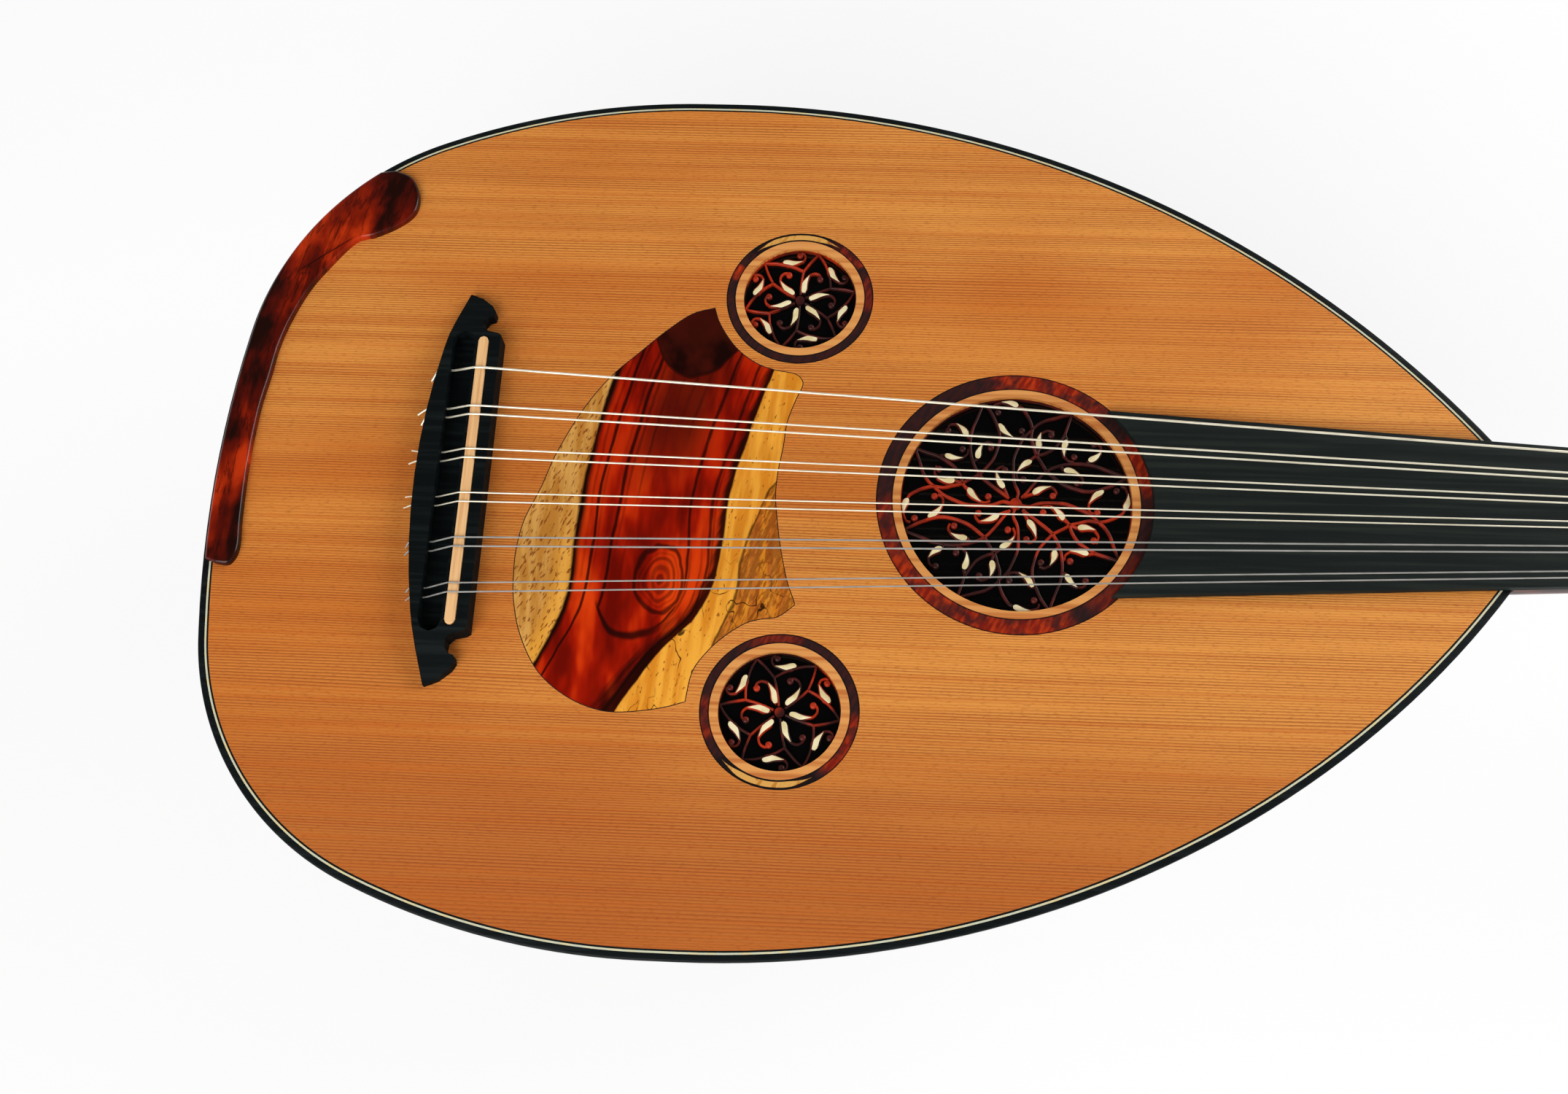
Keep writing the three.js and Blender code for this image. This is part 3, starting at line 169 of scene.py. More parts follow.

# Shapes drawn in thousandths of the sizes that they follow: along, across
PICKGUARD_SHARES = (
    (651, 908), (566, 874), (472, 782), (377, 667), (302, 575), (236, 471), (170, 333), (104, 149), (66, 0),
    (19, -149), (0, -287), (0, -402), (9, -517), (38, -655), (94, -793), (160, -885), (255, -960),
    (358, -1000), (453, -1000), (566, -977), (642, -948), (660, -816), (708, -724), (764, -655),
    (830, -598), (887, -575), (943, -563), (991, -517), (1000, -494), (972, -402), (943, -253), (925, -115),
    (915, 0), (920, 115), (934, 230), (943, 345), (972, 460), (991, 517), (991, 552), (962, 586),
    (887, 603), (821, 632), (755, 690), (708, 759), (670, 839),
)
# The number of the pickguard's second sharp corner. The first is where its points begin.
PICKGUARD_CORNER = 20
ARMREST_SHARES = (
    (834, 996), (942, 971), (1000, 913), (988, 854), (895, 810), (757, 775), (635, 753), (482, 659),
    (391, 587), (314, 493), (268, 407), (245, 314), (215, 205), (203, 43), (215, -119), (229, -212),
    (192, -256), (123, -259), (46, -246),
)
# One quarter of the main rosette, in thousandths of its hole's radius
MAIN_STRANDS = (
    ((50, 60), (94, 108), (152, 186), (223, 274), (267, 317)),
    ((267, 317), (209, 423), (180, 467), (158, 547), (136, 632), (145, 726), (115, 825), (64, 913),
     (30, 935)),
    ((500, 880), (359, 834), (267, 805), (193, 761), (145, 713)),
    ((500, 880), (460, 761), (432, 676), (389, 605), (331, 531), (244, 480), (179, 460), (126, 418)),
    ((10, 50), (21, 115), (-14, 207), (-21, 345), (-14, 437), (29, 547), (71, 632), (138, 703)),
    ((267, 317), (359, 237), (423, 193), (517, 159), (605, 140), (690, 145), (768, 172), (855, 209),
     (970, 279)),
    ((267, 317), (331, 352), (416, 382), (503, 395), (605, 395), (710, 375), (805, 338), (970, 279)),
    ((70, 70), (145, 101)),
    ((389, 372), (416, 333)),
    ((186, 470), (205, 529)),
    ((432, 676), (446, 621)),
    ((618, 395), (632, 425)),
)
# Each leaf: its head, its tail, the curl that goes on from the tail, and the ball that ends it
MAIN_LEAVES = (
    ((145, 101), (294, 170), ((317, 168), (345, 136), (352, 101)), (322, 92)),
    ((138, 414), (18, 310), ((7, 264), (23, 223)), (67, 237)),
    ((416, 333), (552, 294), ((568, 274), (582, 244), (568, 202)), (531, 216)),
    ((205, 529), (218, 674), ((230, 683), (280, 708), (338, 692)), (313, 669)),
    ((759, 149), (637, 32), ((634, 23), (628, -11), (641, -55), (674, -69)), (703, -55)),
    ((446, 621), (421, 471), ((428, 460), (460, 423), (506, 414)), (510, 464)),
    ((632, 425), (743, 513), ((747, 538), (740, 575), (713, 598)), (685, 593)),
    ((936, -23), (972, 115), ((966, 138), (947, 184), (910, 198)), (874, 156)),
)
# One sixth of a small rosette, in thousandths of its hole's radius
SMALL_STRANDS = (
    ((100, -40), (360, -138), (568, -196)),
    ((568, -196), (800, -150), (985, -90)),
    ((985, -90), (850, 100), (640, 285), (453, 390)),
)
SMALL_LEAVES = (
    ((161, -13), (505, -67), ((565, -40), (610, 18), (614, 90), (583, 139)), (545, 140)),
    ((815, 190), (633, 462), ((625, 500), (655, 566), (722, 597), (780, 576)), (758, 525)),
)
# Where the carved wood is bright red: along and across from a rosette's middle, and the reach each way
GLOWS = {
    "main": ((-0.002, -0.004, 0.05, 0.011), (0.018, -0.014, 0.022, 0.009), (-0.03, 0.002, 0.02, 0.008)),
    "bass": ((-0.009, 0.011, 0.013, 0.011), (0.004, 0.017, 0.014, 0.006), (-0.016, -0.006, 0.008, 0.007)),
    "treble": ((-0.009, 0.004, 0.01, 0.008), (-0.005, -0.01, 0.006, 0.006), (0.014, 0.006, 0.006, 0.012)),
}
# Where each ring is red: the turn and the reach in degrees, and how red
RING_PATCHES = {
    "main": (
        (75, 25, 1.0), (19, 14, 1.0), (-125, 34, 0.95), (-85, 18, 0.9), (-168, 13, 0.55), (-40, 16, 0.35),
    ),
    "bass": ((157, 7, 1.0), (38, 7, 1.0), (50, 14, 0.45), (5, 16, 0.35)),
    "treble": ((-27, 24, 0.95), (95, 20, 0.4), (-172, 16, 0.45)),
}
# The middle of each small ring's pale stretch in degrees, and the width of the black line at a ring's edge
PALE_TURNS = {"bass": 94, "treble": -99}
RING_LINE = 0.0005
# How many of the cedar's growth lines make a metre
LINES_PER_METRE = 960.0
# How bright the armrest is at even steps from its foot to its head, how far its foot lies to the treble
# side, and how long the figure is
ARMREST_LEVELS = (
    0.2, 0.3, 0.44, 0.62, 0.78, 0.66, 0.38, 0.34, 0.18, 0.1, 0.08, 0.08, 0.14, 0.34, 0.48, 0.52, 0.5, 0.42,
    0.24,
)
ARMREST_FIGURE_FOOT = 0.0375
ARMREST_FIGURE_LENGTH = 0.174
# How far each string's cut end reaches behind the bridge and to the bass side
TAIL_ENDS = (
    (0.0028, -0.0038), (0.0042, -0.0018), (0.002, -0.0024), (0.0034, 0.0014), (0.0038, -0.0005),
    (0.0034, 0.0004), (0.0036, -0.0004), (0.0018, -0.0018), (0.0022, -0.001), (0.0018, -0.0011),
    (0.002, -0.0006),
)
# The pickguard's figure. The edges of its woods are shares of its length at even steps from its treble
# to its bass end, and the other two lines are shares of its width at even steps from tail to neck.
PALE_TO_RED_SHARES = (0.03, 0.125, 0.195, 0.207, 0.217, 0.247, 0.285, 0.34, 0.4)
RED_TO_GOLD_SHARES = (0.4, 0.53, 0.69, 0.735, 0.752, 0.8, 0.858, 0.93, 1.0)
SPALT_SHARES = (0.8, 0.72, 0.785, 0.815, 0.885, 1.0, 1.0, 1.0, 1.0)
UNDER_KNOT_SHARES = (0.3, 0.32, 0.29, 0.172, 0.178, 0.218, 0.26, 0.3, 0.3)
MAROON_SHARES = (1.0, 1.0, 1.0, 0.96, 0.8, 0.784, 0.85, 0.95, 1.0)
# Each dark line of the heartwood: its share of the way across, its reach and its darkness. The inner ones
# end at the line under the knot. Then each ring of the knot: its share of the knot's radius, its reach and
# its darkness, and where the knot lies on the way across.
OUTER_LINES = ((0.0, 0.06, 1.0), (0.125, 0.017, 0.9), (0.9, 0.018, 0.8))
INNER_LINES = ((0.27, 0.018, 0.9), (0.75, 0.017, 0.85))
KNOT_RINGS = ((1.0, 0.13, 0.8), (0.78, 0.06, 0.25), (0.58, 0.11, 0.55), (0.28, 0.13, 0.5), (0.05, 0.1, 0.6))
KNOT_FIELD = 0.61
# A peg's thumb piece: the share of its length, the share of its half width, and thickness over width
THUMB_PROFILE = (
    (0.0, 0.33, 1), (0.05, 0.36, 0.95), (0.12, 0.5, 0.7), (0.25, 0.76, 0.5), (0.4, 0.93, 0.42),
    (0.55, 1, 0.4), (0.7, 0.95, 0.4), (0.84, 0.76, 0.42), (0.92, 0.52, 0.5), (0.945, 0.32, 0.75),
)
# How far each peg is turned at rest, in degrees, and which string each peg holds
PEG_TURNS = (12, 68, 35, 150, 95, 20, 128, 50, 165, 80, 5)
STRING_OF_PEG = (10, 0, 9, 1, 8, 2, 7, 3, 6, 4, 5)
WOUND_STRINGS = 7
# The slot of each finish that isn't named after its slot
SLOTS = {
    "edge_line": "bone", "lip": "cedar", "bridge": "ebony", "fingerboard": "ebony", "glue": "ebony",
    "smoked": "ebony", "armrest": "armrest_wood", "pickguard": "pickguard_wood", "saddle": "saddle_wood",
    "wound": "wound_silver",
}
for hole in GLOWS:
    SLOTS |= {f"ring_{hole}": "ring_wood", f"rosette_{hole}": "rosette_wood"}


def linear(red, green, blue):
    """A screen colour from 0 to 255 as the linear colour that a socket holds."""
    shares = np.array([red, green, blue]) / 255
    low = shares / 12.92
    high = ((shares + 0.055) / 1.055) ** 2.4
    return tuple(np.where(shares <= 0.04045, low, high))


def thousandths(rows):
    """A table of thousandths as shares."""
    return np.array(rows) / 1000


def placed(points):
    """Body places as places in the frame: the tail and the soundboard's face are added."""
    return np.asarray(points, float) + np.array([TAIL_X, 0.0, TOP_Z])


# Surfaces


def smooth(points, steps, closed=False):
    """A Catmull-Rom curve: each stretch is the cubic through its two points whose slopes there are half
    the way from the point before to the point after."""
    p = np.asarray(points, float)
    if closed:
        before, start, end, after = np.roll(p, 1, 0), p, np.roll(p, -1, 0), np.roll(p, -2, 0)
    else:
        padded = np.concatenate([2 * p[:1] - p[1:2], p, 2 * p[-1:] - p[-2:-1]])
        before, start, end, after = padded[:-3], padded[1:-2], padded[2:-1], padded[3:]
    before, start, end, after = (part[:, None, :] for part in (before, start, end, after))
    t = np.linspace(0, 1, steps, endpoint=False)[None, :, None]
    curve = 2 * start + (end - before) * t + (2 * before - 5 * start + 4 * end - after) * t**2
    curve = (curve + (3 * start - before - 3 * end + after) * t**3) / 2
    curve = curve.reshape(-1, p.shape[1])
    return curve if closed else np.concatenate([curve, p[-1:]])


def loft(rows):
    """A closed skin through loops of equal length, rows[n, m, 3]: quads join each loop to the next,
    and a face closes each end."""
    count, around = rows.shape[:2]
    start = np.arange(count - 1)[:, None] * around
    here = np.arange(around)[None, :]
    beside = (here + 1) % around
    quads = np.stack([start + here, start + beside, start + around + beside, start + around + here], -1)
    ends = [list(range(around)), list(range((count - 1) * around, count * around))]
    return rows.reshape(-1, 3), quads.reshape(-1, 4).tolist() + ends


def plate(loops, low, high):
    """Flat loops, the first outside and the rest holes, filled at two heights and joined by walls."""
    flat = np.concatenate(loops)
    count = len(flat)
    vertices = np.concatenate([np.c_[flat, np.full(count, low)], np.c_[flat, np.full(count, high)]])
    if len(loops) == 1:
        faces = [list(range(count)), list(range(count, 2 * count))]
    else:
        outlines = [[Vector((x, y, 0)) for x, y in loop.tolist()] for loop in loops]
        triangles = np.array(tessellate_polygon(outlines))
        faces = triangles.tolist() + (triangles + count).tolist()
    offset = 0
    for loop in loops:
        here = np.arange(len(loop)) + offset
        beside = np.roll(here, -1)
        faces += np.stack([here, beside, beside + count, here + count], -1).tolist()
        offset += len(loop)
    return vertices, faces


def joined(shells):
    """Several shells as one list of vertices and one of faces."""
    vertices = np.concatenate([shell[0] for shell in shells])
    faces = []
    offset = 0
    for points, shell_faces in shells:
        faces += [[corner + offset for corner in face] for face in shell_faces]
        offset += len(points)
    return vertices, faces


def circle(centre, radius, steps):
    """Points at even angles round a centre."""
    angle = np.linspace(0, FULL_TURN, steps, endpoint=False)
    return np.c_[centre[0] + radius * np.cos(angle), centre[1] + radius * np.sin(angle)]


def unit(vectors):
    """Vectors scaled to length 1."""
    return vectors / np.linalg.norm(vectors, axis=-1, keepdims=True)


def strip(path, widths, low, high, rounding):
    """A flat path swept by a low arch: at each point the section runs across the path's normal, from low
    up the sides to a rounded top at high."""
    tangent = unit(np.gradient(path, axis=0))
    normal = np.c_[-tangent[:, 1], tangent[:, 0]]
    across = np.array([-0.5, -0.5, -0.28, 0.28, 0.5, 0.5])
    height = np.array([low, high - rounding, high, high, high - rounding, low])
    widths = np.broadcast_to(widths, len(path))
    flat = path[:, None, :] + normal[:, None, :] * (widths[:, None] * across)[:, :, None]
    return loft(np.concatenate([flat, np.broadcast_to(height, flat.shape[:2])[:, :, None]], -1))


def tube(path, radius, sides):
    """A round section carried along a path: its two directions are the tangent crossed with the Y axis
    and that crossed with the tangent."""
    tangent = unit(np.gradient(path, axis=0))
    side = unit(np.cross(tangent, [0.0, 1.0, 0.0]))
    other = np.cross(side, tangent)
    angle = np.linspace(0, FULL_TURN, sides, endpoint=False)[None, :, None]
    ring = np.cos(angle) * side[:, None] + np.sin(angle) * other[:, None]
    return loft(path[:, None, :] + radius * ring)


def button(centre, radius, low, high, sides=14):
    """A low round button: rings whose radius falls off as the cosine while the height rises as the sine."""
    lift = np.linspace(0, QUARTER, 4)[:-1]
    radii = np.r_[radius, radius * np.cos(lift)]
    heights = np.r_[low, high - radius / 2 + radius / 2 * np.sin(lift)]
    angle = np.linspace(0, FULL_TURN, sides, endpoint=False)
    x = centre[0] + radii[:, None] * np.cos(angle)
    y = centre[1] + radii[:, None] * np.sin(angle)
    return loft(np.stack([x, y, np.broadcast_to(heights[:, None], x.shape)], -1))


def even(path, steps):
    """A path's points at even steps of its length."""
    reached = np.r_[0.0, np.cumsum(np.linalg.norm(np.diff(path, axis=0), axis=1))]
    wanted = np.linspace(0, reached[-1], steps)
    return np.stack([np.interp(wanted, reached, path[:, axis]) for axis in (0, 1)], -1), reached[-1]


def comma(head, tail, curl, width, margin, curl_width):
    """A leaf's middle line and its widths. The line bows away from the side that its curl turns to. The
    width is way^0.55 (1 - way)^1.7 times a factor, with the way from the round head to just past the tail.
    The carved one adds a margin and never gets thinner than the curl, which thins towards its end, and it
    opens at the head as the square root of the way."""
    along = tail - head
    across = np.array([-along[1], along[0]])
    side = np.sign(across @ (curl[-1] - tail))
    middle = (head + tail) / 2 - side * LEAF_BOW * across
    path, whole = even(smooth(np.concatenate([[head, middle, tail], curl]), 8), LEAF_STEPS)
    reached = np.linspace(0, whole, LEAF_STEPS)
    share = np.clip(reached / np.linalg.norm(along) / LEAF_REACH, 0, 1)
    bone = width * LEAF_SWELL * share**0.55 * (1 - share) ** 1.7
    thinning = curl_width * (1.1 - 0.35 * reached / whole)
    start = np.sqrt(np.clip((reached + margin) / (0.3 * np.linalg.norm(along)), 0, 1))
    lead = path[:1] - unit(path[1:2] - path[:1]) * margin
    carved = start * np.maximum(bone + 2 * margin, thinning)
    return path, share, bone, np.concatenate([lead, path]), np.r_[0.5 * margin, carved]


def turned(shell, angle):
    """A shell turned about the Z axis."""
    vertices, faces = shell
    turn = np.array([[cos(angle), sin(angle), 0], [-sin(angle), cos(angle), 0], [0, 0, 1]])
    return vertices @ turn, faces


def mirrored(shell):
    """A shell with its two sides changed over."""
    return shell[0] * [1, -1, 1], shell[1]


def shifted(shell, offset):
    """A shell moved by an offset."""
    return shell[0] + np.array(offset), shell[1]


def piece(name, shell, look, nodes=(), body=BODY, crease=CREASE, rounding=0.0):
    """Puts a shell into a mesh: doubles are merged and faces turned outwards. A rounding eases its upper
    edge. Look is the name of its finish."""
    vertices, faces = shell
    mesh = bpy.data.meshes.new(name)
    mesh.from_pydata(placed(vertices).tolist(), [], faces)
    build = bmesh.new()
    build.from_mesh(mesh)
    bmesh.ops.remove_doubles(build, verts=build.verts, dist=1e-6)
    bmesh.ops.recalc_face_normals(build, faces=build.faces)
    if rounding:
        highest = max(vertex.co.z for vertex in build.verts) - 1e-6
        rim = [edge for edge in build.edges if is_rim(edge, highest)]
        bmesh.ops.bevel(build, geom=rim, offset=rounding, segments=5, profile=0.5, affect="EDGES",
                        clamp_overlap=True)
    build.to_mesh(mesh)
    build.free()
    return shown(name, mesh, look, nodes, body, crease)


def is_rim(edge, height):
    """Whether an edge lies at the height and joins a level face to a wall."""
    if min(vertex.co.z for vertex in edge.verts) < height or len(edge.link_faces) != 2:
        return False
    return edge.calc_face_angle(0.0) > radians(60)


def shown(name, mesh, look, nodes, body, crease):
    """Links a mesh as a piece: its sharp edges are marked, and it gets its finish, rides its body
    and stands for its nodes."""
    mesh.shade_smooth()
    mesh.set_sharp_from_angle(angle=crease)
    made = bpy.data.objects.new(name, mesh)
    bpy.context.scene.collection.objects.link(made)
    made.data.materials.append(finish(look))
    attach(made, body)
    if nodes:
        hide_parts(*nodes)
    return made


def eased(name, node, look, edge=0.0005):
    """A copy of a node with its doubles merged and its edges rounded by a bevel as wide as edge."""
    mesh = frame["nodes"][node].data.copy()
    build = bmesh.new()
    build.from_mesh(mesh)
    bmesh.ops.remove_doubles(build, verts=build.verts, dist=2e-6)
    bmesh.ops.dissolve_limit(build, angle_limit=radians(0.5), verts=build.verts, edges=build.edges)
    build.to_mesh(mesh)
    build.free()
    mesh.materials.clear()
    made = shown(name, mesh, look, (node,), BODY, CREASE)
    bevel = made.modifiers.new("Eased edges", "BEVEL")
    bevel.width = edge
    bevel.segments = 3
    bevel.limit_method = "ANGLE"
    bevel.angle_limit = radians(30)
    bevel.harden_normals = True
    return made


def dress(node, look):
    """Gives a node that stays, inside the bowl, its own finish."""
    mesh = frame["nodes"][node].data
    mesh.materials.clear()
    mesh.materials.append(finish(look))


# Materials


class Value:
    """An output of a finish's nodes, with + - * / and the calls that add a node after it."""

    def __init__(self, wood, socket):
        self.wood = wood
        self.socket = socket

    def math(self, operation, *others):
        """The result of a Math node that starts with this value."""
        return self.wood.math(operation, self, *others)

    __add__ = partialmethod(math, "ADD")
    __sub__ = partialmethod(math, "SUBTRACT")
    __mul__ = partialmethod(math, "MULTIPLY")
    __truediv__ = partialmethod(math, "DIVIDE")
    __abs__ = partialmethod(math, "ABSOLUTE")

    def __rsub__(self, other):
        """A plain number less this value."""
        return self.wood.math("SUBTRACT", other, self)

    def scaled(self, factor, offset):
        """The value times a factor, plus an offset."""
        return self.math("MULTIPLY_ADD", factor, offset)

    def swung(self, amount):
        """How far the value is from a half, times an amount."""
        return self.scaled(amount, -amount / 2)

    def ranged(self, low, high, most=1.0, least=0.0):
        """A smooth step from least where the value is low to most where it is high."""
        inputs = {"Value": self, "From Min": low, "From Max": high, "To Min": least, "To Max": most}
        return self.wood.add("ShaderNodeMapRange", inputs, interpolation_type="SMOOTHSTEP")

    def band(self, place, reach, most=1.0):
        """Most where the value is at a place, falling to 0 a reach away."""
        return abs(self - place).ranged(reach, 0.25 * reach, most)

    def curved(self, shares):
        """A curve given at even steps: the share that belongs to this value from 0 to 1."""
        drawn = self.wood.add("ShaderNodeFloatCurve", {"Value": self})
        mapping = drawn.socket.node.mapping
        curve = mapping.curves[0]
        last = len(shares) - 1
        curve.points[0].location = (0.0, shares[0])
        curve.points[1].location = (1.0, shares[last])
        for index in range(1, last):
            curve.points.new(index / last, shares[index])
        mapping.update()
        return drawn


def highest(first, *rest):
    """The highest of some values."""
    for value in rest:
        first = first.math("MAXIMUM", value)
    return first


def squares(one, other):
    """The sum of two values' squares."""
    return one * one + other * other


class Finish:
    """A material and the calls that build its nodes. A colour is a name from OudColours, a colour setting
    or another node's output."""

    def __init__(self, name, roughness, specular):
        self.material = bpy.data.materials.new(name)
        self.material.use_nodes = True
        self.nodes = self.material.node_tree.nodes
        self.shader = self.nodes["Principled BSDF"]
        self.shader.inputs["Roughness"].default_value = roughness
        self.shader.inputs["Specular IOR Level"].default_value = specular
        self.place = self.add("ShaderNodeTexCoord", output="Object")

    def put(self, socket, value):
        """Links a node's output to a socket, or sets a plain number, vector or colour on it."""
        if isinstance(value, Value):
            self.material.node_tree.links.new(value.socket, socket)
            return
        if isinstance(value, str):
            value = getattr(bpy.context.scene.oud_colours, value)
        socket.default_value = (*value, 1.0) if socket.type == "RGBA" else value

    def add(self, kind, inputs=None, output=0, **options):
        """A new node's output, after its options and its inputs are filled in."""
        node = self.nodes.new(kind)
        for key, value in options.items():
            setattr(node, key, value)
        for key, value in (inputs or {}).items():
            self.put(node.inputs[key], value)
        return Value(self, node.outputs[output])

    def math(self, operation, first, second=0.0, third=0.0):
        """The result of a Math node over values or plain numbers."""
        return self.add("ShaderNodeMath", {0: first, 1: second, 2: third}, operation=operation)

    def mapped(self, stretch, offset=(0, 0, 0), turn=0.0):
        """The object's coordinates, turned about Z, then stretched and moved by an offset."""
        place = self.place
        if turn:
            inputs = {"Vector": place, "Angle": turn}
            place = self.add("ShaderNodeVectorRotate", inputs, rotation_type="Z_AXIS")
        return self.add("ShaderNodeMapping", {"Vector": place, "Scale": stretch, "Location": offset})

    def noise(self, stretch, detail=2, roughness=0.55, **placing):
        """Noise over the object's coordinates after a stretch, or over a vector that is given instead."""
        vector = stretch if isinstance(stretch, Value) else self.mapped(stretch, **placing)
        inputs = {"Vector": vector, "Scale": 1.0, "Detail": detail, "Roughness": roughness}
        return self.add("ShaderNodeTexNoise", inputs, "Fac")

    def layers(self, colour, *coats):
        """A colour with coats over it: each is mixed in by its share."""
        for share, coat in coats:
            colour = self.add("ShaderNodeMix", {0: share, 6: colour, 7: coat}, 2, data_type="RGBA")
        return colour

    def flat(self):
        """The object's X and Y coordinates."""
        node = self.add("ShaderNodeSeparateXYZ", {"Vector": self.place}).socket.node
        return Value(self, node.outputs[0]), Value(self, node.outputs[1])

    def finish(self, colour, height=None, depth=0.0, roughness=None, coat=0.0):
        """The material, with its colour, and its bump, roughness and coat where it has them."""
        self.put(self.shader.inputs["Base Color"], colour)
        if roughness is not None:
            self.put(self.shader.inputs["Roughness"], roughness)
        if height is not None:
            bump = self.add("ShaderNodeBump", {"Height": height, "Strength": 1.0, "Distance": depth})
            self.put(self.shader.inputs["Normal"], bump)
        self.shader.inputs["Coat Weight"].default_value = coat
        return self.material


def cedar_finish():
    """Old cedar: growth lines about a millimetre apart that darken slowly and end sharply, wider bands,
    faint red streaks and fine flecks across the grain; over all of it, the colour turns browner towards the
    treble edge."""
    wood = Finish("cedar", 0.45, 0.16)
    _, y = wood.flat()
    drift = wood.noise((1.1, 20, 1))
    phase = (y * LINES_PER_METRE + drift * 14.0).math("FRACT")
    strength = wood.noise((5, 150, 1), offset=(0.3, 0, 0))
    lines = phase.ranged(0.25, 0.95) * strength.ranged(0.3, 0.65, 0.72, 0.25)
    bands = wood.noise((1.5, 24, 1), 3)
    streaks = wood.noise((3.2, 460, 1), 3, 0.6)
    cloud = wood.noise((6, 6, 1))
    fleck = wood.noise((420, 1500, 1))
    colour = wood.layers(
        "cedar_dark",
        (bands.ranged(0.36, 0.64), "cedar_light"),
        (cloud.ranged(0.42, 0.68, 0.6), "cedar_gold"),
        # Browner towards the treble edge, set by position alone
        (y.ranged(-0.05, -0.16, 0.85), "cedar_flank"),
        (streaks.ranged(0.46, 0.68, 0.4), "cedar_red"),
        (lines, "cedar_line"),
        (fleck.ranged(0.5, 0.72, 0.3), "cedar_line"),
    )
    return wood.finish(colour, lines, 0.00005, strength.ranged(0.3, 0.7, 0.52, 0.4))


def black_wood_finish(name, dark, light, roughness, shine=0.1):
    """Black wood with a faint lighter grain and fine open pores."""
    wood = Finish(name, roughness, shine)
    grain = wood.noise((14, 420, 420), 3)
    pores = wood.noise((120, 2600, 2600))
    colour = wood.layers(dark, (grain.ranged(0.42, 0.75), light))
    return wood.finish(colour, pores, 0.00003, pores.ranged(0.3, 0.7, roughness + 0.08, roughness - 0.06))


def figured_finish(name, dark, middle, light, stretch):
    """Polished rosewood: flowing dark figure from noise that is itself bent by noise, over two tones."""
    wood = Finish(name, 0.34, 0.08)
    bend = wood.noise((11, 11, 11))
    vector = wood.add("ShaderNodeVectorMath", {0: wood.mapped(stretch), 1: bend}, operation="ADD")
    flame = wood.noise(vector, 4, 0.6)
    wave = {"Vector": vector, "Scale": 0.9, "Distortion": 7.0, "Detail": 3.0}
    veins = wood.add("ShaderNodeTexWave", wave, "Fac")
    tone = wood.noise((28, 28, 28))
    pores = wood.noise((60, 1300, 1300))
    colour = wood.layers(
        dark,
        (flame.ranged(0.36, 0.62), middle),
        (tone.ranged(0.52, 0.72), light),
        (veins.ranged(0.72, 0.98, 0.75), dark),
    )
    return wood.finish(colour, pores, 0.00003, coat=0.03)


def armrest_finish(sizes):
    """Cocobolo along the tail: how bright it is follows a curve from foot to head, gets darker outwards
    above the middle and inwards below it, and is bent by noise along the tail's arc, with one dark hair
    line."""
    wood = Finish("armrest", 0.16, 0.2)
    x, y = wood.flat()
    s = x - TAIL_X
    depth = sizes.tail_radius - squares(s - sizes.tail_radius, y).math("SQRT")
    vector = wood.add("ShaderNodeCombineXYZ", {0: depth, 1: y})
    flame = wood.noise(wood.add("ShaderNodeMapping", {"Vector": vector, "Scale": (150, 24, 1)}), 4, 0.6)
    broad = wood.noise((95, 60, 1), 3, offset=(0.4, 0.2, 0))
    pores = wood.noise((1500, 90, 60))
    whole = ARMREST_FIGURE_LENGTH
    level = y.scaled(1 / whole, ARMREST_FIGURE_FOOT / whole).curved(ARMREST_LEVELS)
    level += depth.ranged(0.002, 0.012, 0.5, -0.5) * y.ranged(-0.012, 0.02, 0.42, -0.5)
    level += flame.swung(1.3) + broad.swung(1.5)
    level -= s.ranged(0.044, 0.055) * y.ranged(0.1, 0.112) * 0.55
    veins = (flame * 3.0).math("FRACT").band(0.5, 0.07, 0.55)
    bow = (s - 0.022) * 0.78 - (y - 0.0905)
    hair = bow.band(0.0, 0.0005) * s.ranged(0.019, 0.023) * s.ranged(0.043, 0.038)
    colour = wood.layers(
        "armrest_black",
        (level.ranged(-0.05, 0.4), "armrest_dark"),
        (level.ranged(0.3, 0.72), "armrest_red"),
        (level.ranged(0.62, 1.05), "armrest_bright"),
        (veins, "armrest_black"),
        (hair * 0.85, "armrest_black"),
    )
    return wood.finish(colour, pores, 0.00002, coat=0.06)


def plain_wood_finish(name, colour, shade, stretch):
    """Pale close-grained wood: two tones along stretched noise."""
    wood = Finish(name, 0.5, 0.3)
    grain = wood.noise(stretch, 3)
    return wood.finish(wood.layers(colour, (grain.ranged(0.4, 0.7), shade)), grain, 0.00004)


def bone_finish():
    """Bone: warm white with soft clouds and faint fibres."""
    bone = Finish("bone", 0.32, 0.5)
    cloud = bone.noise((160, 160, 160), 3)
    fibre = bone.noise((300, 2600, 300))
    return bone.finish(bone.layers("bone", (cloud.ranged(0.35, 0.7), "bone_shade")), fibre, 0.00002)


def edge_line_finish():
    """The pale line round the edge: two close tones in fine clouds."""
    pale = Finish("edge_line", 0.4, 0.4)
    tone = pale.noise((300, 300, 300))
    return pale.finish(pale.layers("line_pale", (tone.ranged(0.4, 0.7), "bone_shade")))


